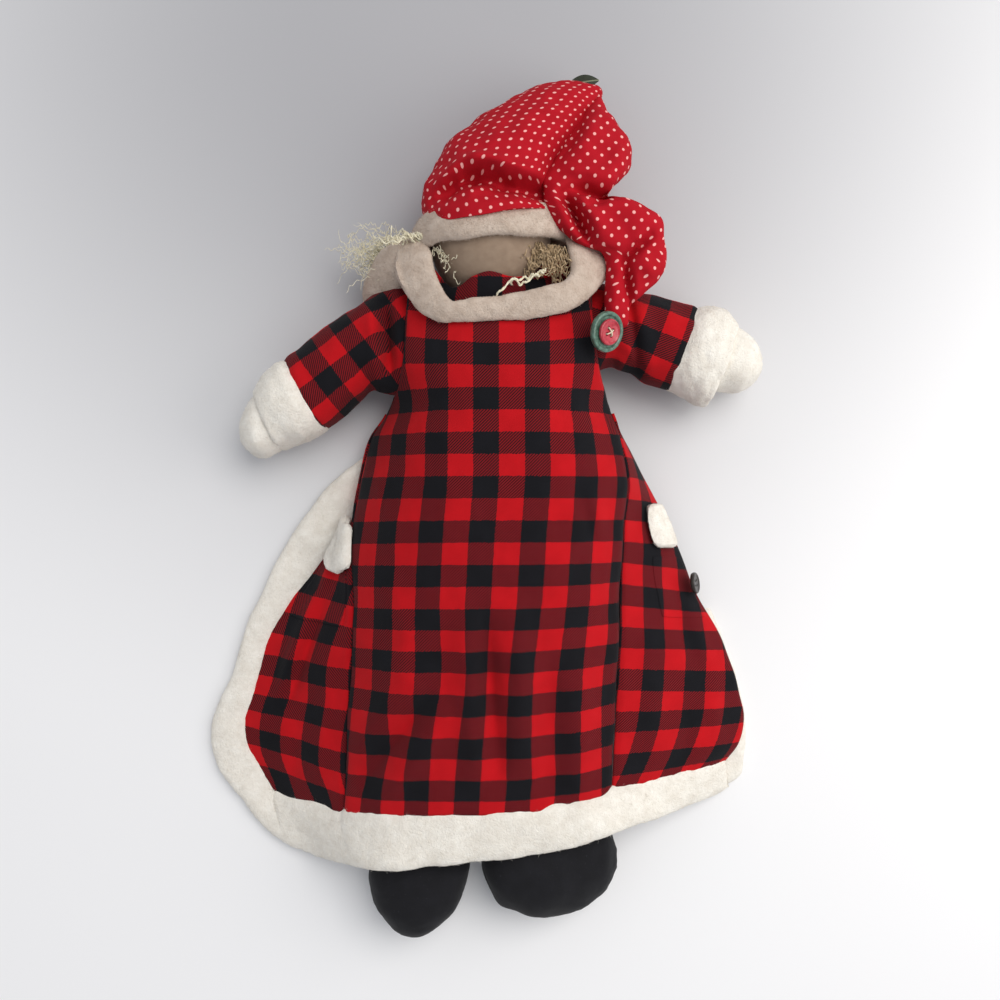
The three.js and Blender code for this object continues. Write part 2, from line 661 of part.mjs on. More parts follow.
const FRONT_FOLD = 1.6; // soft folds of the fronts, growing towards the hem
const BACK_FOLDS = [
  // a fold of the back in plan: from x y, to x y, half width, height; a minus is a hollow
  [-7, -56, -1, -134, 5, -5.5],
  [-17, -56, -13, -136, 6, 3.2],
  [8, -54, 12, -136, 6.5, 3],
  [-36, -98, -68, -142, 4.5, -5],
  [-28, -108, -58, -152, 5.5, 3.4],
  [-46, -90, -78, -130, 5.5, 2.6],
  [24, -74, 27, -150, 6.5, -3.6],
  [39, -84, 41, -148, 6.5, 2.4],
];

// Height of the folds at a spot in plan, fading out towards both ends of each fold
function foldHeight(spot) {
  const nearest = new THREE.Vector3();
  return BACK_FOLDS.reduce((total, [fromX, fromY, toX, toY, half, height]) => {
    const line = new THREE.Line3(new THREE.Vector3(fromX, fromY), new THREE.Vector3(toX, toY));
    const share = line.closestPointToPointParameter(spot, true);
    const away = line.at(share, nearest).distanceTo(spot);
    return total + height * Math.sin(Math.PI * (0.12 + 0.76 * share)) * Math.exp(-((away / half) ** 2));
  }, 0);
}

// across runs from -1 at the left seam to 1 at the right seam
function backPoint(across, share) {
  const [cx, cy, cz, lx, ly, lz, rx, ry, rz] = backAt(share);
  const [sx, sy, sz] = across < 0 ? [lx, ly, lz] : [rx, ry, rz];
  const side = Math.abs(across);
  const spot = new THREE.Vector3(
    THREE.MathUtils.lerp(cx, sx, side),
    THREE.MathUtils.lerp(cy, sy, side * side),
  );
  return spot.setZ(sz + (cz - sz) * (1 - side ** ARCH) + foldHeight(spot) * (1 - side ** 4));
}

// across runs from 0 at the seam to 1 at the front edge; sag above 1 lies down on the table sooner
function frontPoint(edgeAt, seam, across, share, sag) {
  const from = backPoint(seam, share);
  const [ex, ey, ez] = edgeAt(share);
  const fold = FRONT_FOLD * THREE.MathUtils.smoothstep(share, WAIST, 1) * Math.sin(2 * Math.PI * across);
  return new THREE.Vector3(
    THREE.MathUtils.lerp(from.x, ex, across),
    THREE.MathUtils.lerp(from.y, ey, across),
    ez + (from.z - ez) * Math.max(0, 1 - across) ** sag + fold * Math.sin(Math.PI * across),
  );
}
const leftPoint = (across, share) => frontPoint(leftEdgeAt, -1, across, share, 1.5);
const rightPoint = (across, share) => frontPoint(rightEdgeAt, 1, across, share, 0.8);

function panel(pointAt, acrossFrom, acrossTo, acrossCount, shareFrom, shareCount) {
  return steps(shareFrom, 1, shareCount).map((share) =>
    steps(acrossFrom, acrossTo, acrossCount).map((across) => pointAt(across, share)));
}
const SEAM = 0.012; // share of a panel's width that its seam takes
const FRONT_TOP = UNDERARM + 0.02;
const FRONT_ROWS = 14;
const backGrid = panel(backPoint, -1 + SEAM, 1 - SEAM, 28, 0, 20);
const leftGrid = panel(leftPoint, SEAM, 1, 7, FRONT_TOP, FRONT_ROWS);
const rightGrid = panel(rightPoint, SEAM, 1, 7, FRONT_TOP, FRONT_ROWS);
piece("coat_back", sheet(backGrid, CLOTH), checkedFlannel);
piece("coat_left_front", sheet(leftGrid, CLOTH), checkedFlannel);
piece("coat_right_front", sheet(rightGrid, CLOTH), checkedFlannel);

// Fleece band sewn along an edge, standing out from it in the cloth's own plane
function band(stations, width, thickness) {
  return skin(stations.map(({ edge, out, up, lift = 0 }) => {
    const outward = out.clone().normalize();
    const upward = up.clone().addScaledVector(outward, -up.dot(outward)).normalize();
    const centre = edge.clone().addScaledVector(outward, GAP + width / 2).addScaledVector(upward, lift);
    return steps(0, 2 * Math.PI, 10).slice(0, -1).map((angle) => {
      const c = Math.cos(angle);
      const s = Math.sin(angle);
      const point = centre.clone()
        .addScaledVector(outward, (width / 2) * Math.sign(c) * Math.abs(c) ** 0.7)
        .addScaledVector(upward, (thickness / 2) * Math.sign(s) * Math.abs(s) ** 0.7);
      return point.setZ(Math.max(0, point.z));
    });
  }));
}

const UP = new THREE.Vector3(0, 0, 1);
const HEM_LIFT = (TRIM_THICKNESS - CLOTH) / 2; // keeps the hem clear of the boots
function hemStation(pointAt, across, lift = HEM_LIFT) {
  const edge = pointAt(across, 1);
  const out = edge.clone().sub(pointAt(across, 0.93));
  out.x *= 0.4;
  return { edge, out, up: UP, lift };
}

// The trim turns the left corner on a mitre, half of the turn on each of the two bands
const corner = new THREE.Vector3(...leftEdgeAt(1));
function cornerStation(degrees) {
  const turn = THREE.MathUtils.degToRad(degrees);
  return { edge: corner, out: new THREE.Vector3(-Math.sin(turn), -Math.cos(turn), 0), up: UP };
}
const MITRE = 45;
const MITRE_GAP = 2; // degrees
piece("hem_trim", band([
  ...[MITRE - MITRE_GAP, 22, 8].map(cornerStation),
  ...steps(0.85, 0.2, 4).map((across) => hemStation(leftPoint, across, (1 - across) * HEM_LIFT)),
  ...steps(-1, 1, 14).map((across) => hemStation(backPoint, across)),
  ...steps(0.2, 0.95, 4).map((across) => hemStation(rightPoint, across)),
], TRIM_WIDTH, TRIM_THICKNESS), fleece);

function frontStation(share) {
  const [x, y, z] = leftEdgeAt(share);
  const [nx, ny] = leftEdgeAt(Math.min(share + 0.02, 1));
  const [px, py] = leftEdgeAt(share - 0.02);
  const out = new THREE.Vector3(ny - py, px - nx, 0).normalize();
  const steep = 1 - THREE.MathUtils.smoothstep(share, 0.3, 0.5); // the cloth hangs upright at the top
  const edge = new THREE.Vector3(x, y, z).addScaledVector(out, (steep * CLOTH) / 2);
  return { edge, out, up: UP };
}
piece("left_front_trim", band([
  ...steps(FRONT_TOP, 1, FRONT_ROWS).slice(2, -1).map(frontStation),
  ...[75, 60, MITRE].map(cornerStation),
], FRONT_TRIM_WIDTH, TRIM_THICKNESS), fleece);

const FOLD_PEEK = 3; // how far the turned-under trim shows past the fold
piece("right_front_trim", band(steps(0.45, 0.97, 12).map((share) => {
  const [x, y] = rightEdgeAt(share);
  return {
    edge: new THREE.Vector3(x + FOLD_PEEK - FRONT_TRIM_WIDTH, y, TRIM_THICKNESS / 2),
    out: new THREE.Vector3(1, 0, 0),
    up: UP,
  };
}), FRONT_TRIM_WIDTH, TRIM_THICKNESS), fleece);

// Collar: a fleece roll round the neck, its ends turned down over the shoulders
const collarLine = new THREE.CatmullRomCurve3([
  [-60, 119, 9], [-54, 121, 22], [-46, 115, 40], [-37, 104, 53], [-22, 96, 60], [0, 93.2, 62],
  [22, 96, 60], [38, 104, 52], [47, 116, 37], [54, 122, 20], [59, 120, 8],
].map(([x, y, z]) => new THREE.Vector3(x, y, z)));
piece("coat_collar", skin(steps(0, 1, 20).map((share) => {
  const centre = collarLine.getPoint(share);
  const tangent = collarLine.getTangent(share);
  const heading = Math.atan2(tangent.y, tangent.x);
  const ends = Math.min(1, 0.55 + 4 * Math.min(share, 1 - share));
  const half = (COLLAR_THICKNESS / 2) * ends;
  return section(centre, heading, COLLAR_HALF * ends, centre.z - half, centre.z + half, 12);
})), fleece);

// Pockets: a checked patch under a fleece cuff on each front panel
function outwardAt(pointAt, across, share) {
  const along = pointAt(across, share + 0.02).sub(pointAt(across, share - 0.02));
  const over = pointAt(Math.min(across + 0.05, 1), share).sub(pointAt(across - 0.05, share));
  const normal = over.cross(along).normalize();
  return normal.z < 0 ? normal.negate() : normal;
}

function patch(pointAt, [acrossFrom, acrossTo], [shareFrom, shareTo], lift) {
  return steps(shareFrom, shareTo, 4).map((share) => steps(acrossFrom, acrossTo, 4).map((across) => {
    return pointAt(across, share).addScaledVector(outwardAt(pointAt, across, share), lift);
  }));
}
const patchLift = (CLOTH + POCKET_THICKNESS) / 2 + GAP;
const POCKET_CUFF_THICKNESS = 5;
const cuffLift = (CLOTH + POCKET_CUFF_THICKNESS) / 2 + GAP;
const cuffShare = POCKET_CUFF_HEIGHT / 244; // share of the coat's length
for (const { side, pointAt, across, top } of [
  { side: "left", pointAt: leftPoint, across: [0.04, 0.55], top: 0.4 },
  { side: "right", pointAt: rightPoint, across: [0.5, 0.97], top: 0.37 },
]) {
  const cuffGrid = patch(pointAt, across, [top, top + cuffShare], cuffLift);
  piece(`${side}_pocket_cuff`, sheet(cuffGrid, POCKET_CUFF_THICKNESS), fleece);
  const patchGrid = patch(pointAt, across, [top + cuffShare + 0.01, top + cuffShare + 0.14], patchLift);
  piece(`${side}_pocket`, sheet(patchGrid, POCKET_THICKNESS), checkedFlannel);
}

// Dark button on the right pocket, facing out to the side
const pocketButton = new THREE.Group();
const BUTTON_ACROSS = 0.86;
const BUTTON_SHARE = 0.55;
const buttonFacing = outwardAt(rightPoint, BUTTON_ACROSS, BUTTON_SHARE);
const buttonLift = patchLift + POCKET_THICKNESS / 2 + GAP + POCKET_BUTTON_THICKNESS / 2;
pocketButton.position.copy(rightPoint(BUTTON_ACROSS, BUTTON_SHARE));
pocketButton.position.addScaledVector(buttonFacing, buttonLift);
pocketButton.quaternion.setFromUnitVectors(UP, buttonFacing);
doll.add(pocketButton);
const pocketHoles = holePlaces.map((place) => rod(place.clone().multiplyScalar(0.6), -5, 5, 0.7));
pocketButton.add(piece("pocket_button",
  cut(dished(POCKET_BUTTON_RADIUS, POCKET_BUTTON_THICKNESS, 1.6, 0.5, 18), ...pocketHoles), darkPlastic));

export default doll;
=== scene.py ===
# Cloth santa doll lying on its front in a fleece-trimmed check coat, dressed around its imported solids.
import math

import bpy
import numpy as np
from mathutils import Matrix, Vector


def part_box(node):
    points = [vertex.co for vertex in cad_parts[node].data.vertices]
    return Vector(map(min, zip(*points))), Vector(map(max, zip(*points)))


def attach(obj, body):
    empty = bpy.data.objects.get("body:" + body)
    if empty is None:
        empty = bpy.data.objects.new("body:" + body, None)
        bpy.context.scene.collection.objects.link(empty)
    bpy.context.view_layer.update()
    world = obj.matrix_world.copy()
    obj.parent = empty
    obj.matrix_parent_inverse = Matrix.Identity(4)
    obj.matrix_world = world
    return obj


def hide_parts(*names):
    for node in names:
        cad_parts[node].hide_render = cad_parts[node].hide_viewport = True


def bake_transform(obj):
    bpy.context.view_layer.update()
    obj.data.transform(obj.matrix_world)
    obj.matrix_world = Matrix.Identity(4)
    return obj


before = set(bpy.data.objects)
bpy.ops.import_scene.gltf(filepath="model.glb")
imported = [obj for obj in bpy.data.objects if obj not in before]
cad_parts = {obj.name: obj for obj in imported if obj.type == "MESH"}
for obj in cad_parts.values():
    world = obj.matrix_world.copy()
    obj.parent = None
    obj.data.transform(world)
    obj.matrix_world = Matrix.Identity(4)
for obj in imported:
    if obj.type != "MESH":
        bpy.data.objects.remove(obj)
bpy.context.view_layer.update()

# Table, light and camera: a pale sheet under the doll, seen from straight above.
# Soft daylight comes low from the right, as from a wide window, and falls off across the sheet.
MM = 0.001
SPINE = np.array([8.3, 1.9, 0.0])  # the doll's own origin in the part's frame, mm
CAMERA_HEIGHT = 650  # mm over the table
LENS = 43.6
DAYLIGHT = 0.54  # strength of the sky all round
TABLE_SIZE = 30  # metres, so that no edge shows
TURN = 6.28  # a full turn in round figures, radians


def shade(code):
    """Linear colour of an sRGB hex value."""
    values = [int(code[i:i + 2], 16) / 255 for i in (1, 3, 5)]
    return tuple(v / 12.92 if v <= 0.04045 else ((v + 0.055) / 1.055) ** 2.4 for v in values) + (1.0,)


def finish(name, colour, **sockets):
    """A new material with one surface shader; the sockets given are the same all over."""
    material = bpy.data.materials.new(name)
    material.use_nodes = True
    shader = material.node_tree.nodes["Principled BSDF"]
    shader.inputs["Base Color"].default_value = shade(colour)
    for socket, value in sockets.items():
        shader.inputs[socket.replace("_", " ")].default_value = value
    return material


def node(material, kind, settings, inputs):
    """Adds a node; an input is a number, a colour or the output that feeds it."""
    made = material.node_tree.nodes.new("ShaderNode" + kind)
    for name, value in settings.items():
        setattr(made, name, value)
    for socket, value in inputs.items():
        if isinstance(value, bpy.types.NodeSocket):
            material.node_tree.links.new(value, made.inputs[socket])
        else:
            made.inputs[socket].default_value = value
    return made.outputs


def feed(material, **sockets):
    """Links outputs to the surface shader."""
    shader = material.node_tree.nodes["Principled BSDF"]
    for socket, output in sockets.items():
        material.node_tree.links.new(output, shader.inputs[socket.replace("_", " ")])


def own_spot(material):
    """The place of a point on its piece, metres."""
    return node(material, "TexCoord", {}, {})["Object"]


def cloth_spot(material):
    """The place of a point on its cloth laid flat, mm."""
    return node(material, "UVMap", {"uv_map": "cloth_mm"}, {})["UV"]


def noise(material, spot, size, detail=2.0, roughness=0.5):
    """Clouds about as wide as the size given, from 0 to 1."""
    clouds = {"Vector": spot, "Scale": 1 / size, "Detail": detail, "Roughness": roughness}
    return node(material, "TexNoise", {}, clouds)[0]


def maths(material, operation, *inputs):
    """A sum on numbers."""
    return node(material, "Math", {"operation": operation}, dict(enumerate(inputs)))[0]


def vector_maths(material, operation, *inputs):
    """A sum on vectors; their length is a number."""
    made = node(material, "VectorMath", {"operation": operation}, dict(enumerate(inputs)))
    return made["Value" if operation == "LENGTH" else "Vector"]


def ranged(material, value, low, high, **settings):
    """How far a value is on its way from low to high, from 0 to 1."""
    return node(material, "MapRange", settings, {"Value": value, "From Min": low, "From Max": high})[0]


def tint(material, share, first, second):
    """A mix of two colours, each a hex value or an output; the share is that of the second."""
    ends = [shade(end) if isinstance(end, str) else end for end in (first, second)]
    return node(material, "Mix", {"data_type": "RGBA"}, {0: share, 6: ends[0], 7: ends[1]})[2]


def embossed(material, strength, depth, height):
    """Relief for the surface shader, depth mm deep."""
    return node(material, "Bump", {}, {"Strength": strength, "Distance": depth * MM, "Height": height})[0]


def place(points):
    """Points of the doll in mm, in the part's frame in metres."""
    return (np.asarray(points, float) + SPINE) * MM


def light(name, kind, spot, energy, size, colour):
    """A lamp that faces the doll; its size is a width in metres, or the angle of a sun."""
    lamp = bpy.data.objects.new(name, bpy.data.lights.new(name, kind))
    lamp.data.energy = energy
    if kind == "SUN":
        lamp.data.angle = size
    else:
        lamp.data.size = size
    lamp.data.color = shade(colour)[:3]
    lamp.location = spot
    lamp.rotation_euler = (-Vector(spot)).to_track_quat("-Z", "Y").to_euler()
    bpy.context.scene.collection.objects.link(lamp)


bpy.ops.object.select_all(action="DESELECT")
bpy.ops.mesh.primitive_plane_add(size=TABLE_SIZE, location=(0, 0, -0.3 * MM))
table = bpy.context.object
table.name = "table"
# Bleached cotton sheet: dull and nearly white; its greyer patch beyond the head is painted shade, where
# less light falls.
sheet = finish("bleached_cotton_sheet", "#E9E9EC", Roughness=0.95)
painted_shade_spot = node(sheet, "Mapping", {}, {"Vector": own_spot(sheet), "Location": (0.027, -0.26, 0),
                                         "Scale": (0.9, 1, 0)})[0]
away = vector_maths(sheet, "LENGTH", painted_shade_spot)
# Painted shade: the sheet's colour greys towards a spot beyond the head and pales away from it.
paler = ranged(sheet, away, 0.04, 0.42, interpolation_type="SMOOTHSTEP")
feed(sheet, Base_Color=tint(sheet, paler, "#B2B2B6", "#F1F1F3"))
table.data.materials.append(sheet)

camera = bpy.data.objects.new("camera", bpy.data.cameras.new("camera"))
camera.data.lens = LENS
camera.location = place([0, 0, CAMERA_HEIGHT])
bpy.context.scene.collection.objects.link(camera)
bpy.context.scene.camera = camera
bpy.context.scene.view_settings.view_transform = "Standard"

world = bpy.data.worlds.new("daylight")
world.use_nodes = True
world.node_tree.nodes["Background"].inputs["Color"].default_value = shade("#EEF1F6")
world.node_tree.nodes["Background"].inputs["Strength"].default_value = DAYLIGHT
bpy.context.scene.world = world
light("sky", "SUN", (0.3, 0.34, 0.85), 1.36, math.radians(40), "#FFFCF7")
light("window", "AREA", (0.5, 0.05, 0.42), 1.6, 0.5, "#FFFBF4")

# Torso: a stuffed check body, flat where it lies, whose neckline shows inside the collar.
# It is sewn from the coat's own flannel, so the cloth's weave and check are made here.
CHECK_ACROSS = 25.2  # one red and one black stripe, mm
CHECK_ALONG = 21.6
YARN = 0.38  # twill yarn to yarn, mm; a little over the real one, so that the twill shows
NAP = 1.6  # ragged edge of a stripe, mm

# Brushed cotton flannel, woven as a 2/2 twill: a stripe of each colour both ways gives plain red,
# plain black and a mixed square where the twill's diagonals show. The nap catches light at the edges.
flannel = finish("brushed_twill_flannel", "#8C1A1E", Roughness=0.95, Specular_IOR_Level=0.15,
                 Sheen_Weight=0.03)
cloth_uv = cloth_spot(flannel)
ragged = node(flannel, "TexNoise", {}, {"Vector": cloth_uv, "Scale": 1 / NAP, "Detail": 2.0})["Color"]
ragged = vector_maths(flannel, "SUBTRACT", ragged, (0.5, 0.5, 0.5))
ragged = vector_maths(flannel, "MULTIPLY_ADD", ragged, (1.1, 1.1, 0), cloth_uv)
across_along = node(flannel, "SeparateXYZ", {}, {0: ragged})
stripes = []
for side, period in ((0, CHECK_ACROSS), (1, CHECK_ALONG)):
    wave = maths(flannel, "PINGPONG", across_along[side], period / 2)
    stripes.append(maths(flannel, "LESS_THAN", wave, period / 4))
both_ways = node(flannel, "SeparateXYZ", {}, {0: cloth_uv})
yarns = [maths(flannel, "SNAP", both_ways[side], YARN) for side in (0, 1)]
diagonal = maths(flannel, "ADD", *yarns)
diagonal = maths(flannel, "MULTIPLY_ADD", diagonal, 0.25 / YARN, 0.125)
rib = maths(flannel, "FRACT", diagonal)
warp_up = maths(flannel, "LESS_THAN", rib, 0.5)
red_yarn = node(flannel, "Mix", {}, {"Factor": warp_up, 2: stripes[1], 3: stripes[0]})[0]
cloud = noise(flannel, cloth_uv, 14, 3.0)
plain_red = maths(flannel, "MULTIPLY", *stripes)
red = tint(flannel, cloud, "#A80D15", "#C8141D")
red = tint(flannel, plain_red, "#86151C", red)
same = maths(flannel, "COMPARE", *stripes, 0.5)
black = tint(flannel, cloud, "#0F0F12", "#1A1A1F")
black = tint(flannel, same, "#1F1115", black)
dyed = tint(flannel, red_yarn, black, red)
feed(flannel, Base_Color=dyed, Normal=embossed(flannel, 0.5, 0.25, warp_up))


def curve_through(rows):
    """Smooth values between rows of (position, values...)."""
    rows = np.array(rows, float)
    stations, values = rows[:, 0], rows[:, 1:]
    slope = np.gradient(values, stations, axis=0)

    def value(position):
        spot = np.clip(np.asarray(position, float), stations[0], stations[-1])
        i = np.clip(np.searchsorted(stations, spot, side="right") - 1, 0, len(stations) - 2)
        span = (stations[i + 1] - stations[i])[..., None]
        t = (spot - stations[i])[..., None] / span
        start = (2 * t**3 - 3 * t**2 + 1) * values[i] + (t**3 - 2 * t**2 + t) * span * slope[i]
        return start + (3 * t**2 - 2 * t**3) * values[i + 1] + (t**3 - t**2) * span * slope[i + 1]
    return value


def stuffed(rows, count, sides, square=1.0):
    """Net of a stuffed tube. A row: position, its two edges in plan, its low and high point, mm."""
    at = np.linspace(rows[0][0], rows[-1][0], count)
    x1, y1, x2, y2, low, high = curve_through(rows)(at).T[..., None]
    angle = np.linspace(-math.pi / 2, 1.5 * math.pi, sides + 1)
    over = np.sign(np.cos(angle)) * np.abs(np.cos(angle)) ** square
    up = np.sign(np.sin(angle)) * np.abs(np.sin(angle)) ** square
    share = (1 - over) / 2
    height = (low + high) / 2 + (high - low) / 2 * up
    return np.stack([x1 + (x2 - x1) * share, y1 + (y2 - y1) * share, np.maximum(height, 0.4)], axis=-1)


def lidded(net, first=True, last=True):
    """Closes the ends of a tube with flat lids."""
    lids = [np.repeat(net[i].mean(axis=0)[None], net.shape[1], axis=0)[None] for i in (0, -1)]
    return np.concatenate(lids[:1] * first + [net] + lids[1:] * last)


def facing(net):
    """Outward or upward direction at each point of a net."""
    normal = np.cross(np.gradient(net, axis=1), np.gradient(net, axis=0))
    normal /= np.maximum(np.linalg.norm(normal, axis=-1, keepdims=True), 1e-9)
    tube = np.allclose(net[:, 0], net[:, -1], atol=1e-3)
    outward = net - net.mean(axis=1, keepdims=True) if tube else np.array([0.0, 0.0, 1.0])
    return normal if (normal * outward).sum() > 0 else -normal


def bumps(net, size, seed):
    """Smooth uneven bumps about size mm apart, mostly from -1 to 1."""
    draw = np.random.default_rng(seed)
    total = np.zeros(net.shape[:2])
    for _ in range(16):
        way = draw.normal(size=3)
        wave = size * draw.uniform(0.7, 1.6)
        total += np.sin(net @ (way / np.linalg.norm(way)) * (2 * math.pi / wave) + draw.uniform(0, TURN))
    return total / 4.5


def puckered(net, size, height, seed):
    """The net with uneven bumps about size mm apart and height mm high."""
    return net + facing(net) * (bumps(net, size, seed) * height)[..., None]


def matted(net, size, height, seed, fine=0.15):
    """The net of a fleece: bumps as above, with small ones over them that are fine mm high."""
    return puckered(puckered(net, size, height, seed), 4.5, fine, seed + 1)


def folded(net, folds):
    """Lifts the upper side along lines in plan: x, y to x, y, half width, height; a minus dents it."""
    lift = np.zeros(net.shape[:2])
    for x1, y1, x2, y2, half, height in folds:
        line = np.array([x2 - x1, y2 - y1])
        offset = net[..., :2] - np.array([x1, y1])
        share = np.clip(offset @ line / (line @ line), 0, 1)
        away = np.linalg.norm(offset - share[..., None] * line, axis=-1)
        lift += height * np.sin(math.pi * (0.12 + 0.76 * share)) * np.exp(-(away / half) ** 2)
    net = net.copy()
    net[..., 2] += lift * np.clip(2 * facing(net)[..., 2], 0, 1)
    return net


def run(net, axis):
    """Distance along the rows or the columns of a net, mm."""
    step = np.linalg.norm(np.diff(net, axis=axis), axis=-1)
    return np.insert(np.cumsum(step, axis=axis), 0, 0, axis=axis)


def laid_flat(net, red_at=None, even=None, level=0, turn=0, lean=0, axis=None, cut=None):
    """The cloth's own flat coordinates at each point of a net, mm, with a red square at the point given.

    even: the column whose length all rows take, level: how far they straighten in plan,
    turn, lean: degrees by which the check turns and its stripes lean, axis: a tube's axis in plan,
    cut: the net before it was folded; a tube cut so is unrolled as a cone.
    """
    middle, quarter = net.shape[1] // 2, net.shape[1] // 4
    along, across = run(net, 0), run(net, 1)
    across = across - across[:, [middle]]
    if even is not None:
        along = along[:, [even]] + level * (net[:, [even], 1] - net[..., 1])
    if cut is not None and not axis:
        own = run(cut, 1)
        own = own - own[:, [middle]]
        shrink = np.where(across < 0, own[:, [0]] / across[:, [0]], own[:, [-1]] / across[:, [-1]])
        across = across * shrink ** 0.75
    flat = np.stack([across, along], axis=-1)
    if axis:
        way = np.array(axis[1]) / np.linalg.norm(axis[1])
        offset = net[..., :2] - np.array(axis[0])
        beside = offset @ np.array([way[1], -way[0]])
        ahead = np.sign(beside[:, [-quarter]] - beside[:, [quarter]])
        flat = np.stack([across * ahead + beside[:, [middle]], offset @ way], axis=-1)
        if cut is not None:
            to_tip = (run(cut, 0)[-1] - run(cut, 0))[:, [middle]] + 1
            slice_angle = across * ahead / to_tip
            flat = to_tip[..., None] * np.stack([np.sin(slice_angle), -np.cos(slice_angle)], axis=-1)
    if red_at:
        away = np.linalg.norm(net[..., :2] - np.array(red_at), axis=-1) - 0.02 * net[..., 2]
        flat = flat - flat[np.unravel_index(np.argmin(away), away.shape)]
    flat[..., 0] += math.tan(math.radians(lean)) * flat[..., 1]
    slant = math.radians(turn)
    return flat @ np.array([[math.cos(slant), -math.sin(slant)], [math.sin(slant), math.cos(slant)]])


def sewn(name, net, body, material, flat=None):
    """Cloth from a flat grid: each point goes to its place, and the UV map keeps the flat size, mm."""
    rows, columns = net.shape[:2]
    flat = laid_flat(net) if flat is None else flat
    bpy.ops.object.select_all(action="DESELECT")
    bpy.ops.mesh.primitive_grid_add(x_subdivisions=columns - 1, y_subdivisions=rows - 1, size=2)
    piece = bpy.context.object
    piece.name = piece.data.name = name
    start = np.array([vertex.co for vertex in piece.data.vertices])
    column = np.rint((start[:, 0] + 1) / 2 * (columns - 1)).astype(int)
    row = np.rint((start[:, 1] + 1) / 2 * (rows - 1)).astype(int)
    piece.data.vertices.foreach_set("co", place(net[row, column]).ravel())
    corners = np.empty(len(piece.data.loops), int)
    piece.data.loops.foreach_get("vertex_index", corners)
    piece.data.uv_layers.active.name = "cloth_mm"
    piece.data.uv_layers.active.data.foreach_set("uv", flat[row, column][corners].ravel())
    bpy.ops.object.mode_set(mode="EDIT")
    bpy.ops.mesh.select_all(action="SELECT")
    bpy.ops.mesh.remove_doubles(threshold=1e-6)
    if np.allclose(net[:, 0], net[:, -1], atol=1e-3):
        bpy.ops.mesh.normals_make_consistent(inside=False)
    elif np.mean([face.normal.z for face in piece.data.polygons]) < 0:
        bpy.ops.mesh.flip_normals()
    bpy.ops.object.mode_set(mode="OBJECT")
    bpy.ops.object.shade_smooth_by_angle(angle=math.radians(70))
    piece.data.materials.clear()
    piece.data.materials.append(material)
    if body:
        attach(piece, body)
    return piece


TORSO = [  # along the spine: edges in plan, low and high point
    [-60, -39, -60, 39, -60, 4, 52], [-42, -45, -42, 45, -42, 0.5, 59], [0, -46, 0, 46, 0, 0.4, 60.4],
    [40, -44, 40, 44, 40, 0.5, 60.4], [64, -40, 64, 40, 64, 6, 58.4], [84, -38, 84, 38, 84, 12, 56.4],
    [95, -33, 95, 33, 95, 17, 54.4], [100, -25, 100, 25, 100, 20, 52.4],
]
torso_net = lidded(puckered(stuffed(TORSO, 60, 56), 22, 0.3, 11))
torso = sewn("torso_body", torso_net, "torso", flannel,
             laid_flat(torso_net, red_at=(6, 80)))
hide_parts("torso_cover", "torso_stuffing")

NECKLINE = [  # across the nape: lower edge x y z, upper edge x y z
    [0, -37, 92, 44, -37, 122, 42], [0.12, -31, 92, 48, -31, 113, 46],
    [0.22, -26, 92, 51, -24.5, 105.5, 51], [0.4, -14, 93, 57, -13, 109.6, 58],
    [0.55, -4.5, 93, 58.6, -4.5, 111.6, 60.6], [0.7, 8, 93, 57.6, 7.5, 109.4, 58],
    [0.85, 22, 94, 52.6, 19, 115, 48], [0.93, 31, 96, 48, 28, 125, 45], [1, 39, 98, 44, 40, 131, 42],
]
nape = curve_through(NECKLINE)(np.linspace(0, 1, 61))
nape = np.stack([nape[:, :3] + (nape[:, 3:] - nape[:, :3]) * share for share in np.linspace(0, 1, 25)])
nape[..., 2] += 1.2 * np.sin(np.linspace(0, math.pi, 25))[:, None]
nape = puckered(nape, 12, 0.35, 12)
neckline = sewn("torso_neckline", nape, None, flannel,
                laid_flat(nape, red_at=(-17, 93)))


def select(*pieces):
    """Selects pieces and no others, with the first one active."""
    bpy.ops.object.select_all(action="DESELECT")
    for piece in pieces:
        piece.select_set(True)
    bpy.context.view_layer.objects.active = pieces[0]


def joined(pieces, name):
    """Joins pieces into the first one, under the name given."""
    select(*pieces)
    bpy.ops.object.join()
    pieces[0].name = pieces[0].data.name = name
    return pieces[0]


def modified(piece, kind, **settings):
    """Adds a modifier and applies it."""
    modifier = piece.modifiers.new(kind.lower(), kind)
    for name, value in settings.items():
        setattr(modifier, name, value)
    select(piece)
    bpy.ops.object.modifier_apply(modifier=modifier.name)


modified(neckline, "SOLIDIFY", thickness=1.4 * MM, offset=-1)
modified(neckline, "SUBSURF", levels=1, render_levels=1)
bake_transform(neckline)

# Head: a stuffed muslin ball on a short neck, with a small stuffed nose and two sewn bead eyes.
# Only its back shows, in the shade between the brim and the collar.
HEAD = np.array([-4.5, 129.0, 36.0])
HEAD_RADIUS = 30
MUSLIN_YARN = 0.5  # yarn to yarn, mm

# Unbleached muslin: a plain weave of uneven yarns, dull, with a few darker slubs; its cream is painted
# darker all over as painted shade, since the head lies in the shade between the brim and the collar.
muslin = finish("unbleached_muslin_painted_shade", "#947E6C", Roughness=0.9, Sheen_Weight=0.08)
weft = own_spot(muslin)
# Painted shade: both colours are darker than the muslin's own cream, for the shade the head lies in.
painted_shade_muslin_tone = tint(muslin, noise(muslin, weft, 4 * MM, 4.0), "#86705E", "#A28D79")
yarn_scale = 0.31 / (MUSLIN_YARN * MM)  # one band of the wave to a yarn
threads, picks = [
    node(muslin, "TexWave", {"bands_direction": way}, {"Vector": weft, "Scale": yarn_scale})[1]
    for way in "XY"
]
plain = maths(muslin, "ADD", threads, picks)
feed(muslin, Base_Color=painted_shade_muslin_tone, Normal=embossed(muslin, 0.3, 0.2, plain))


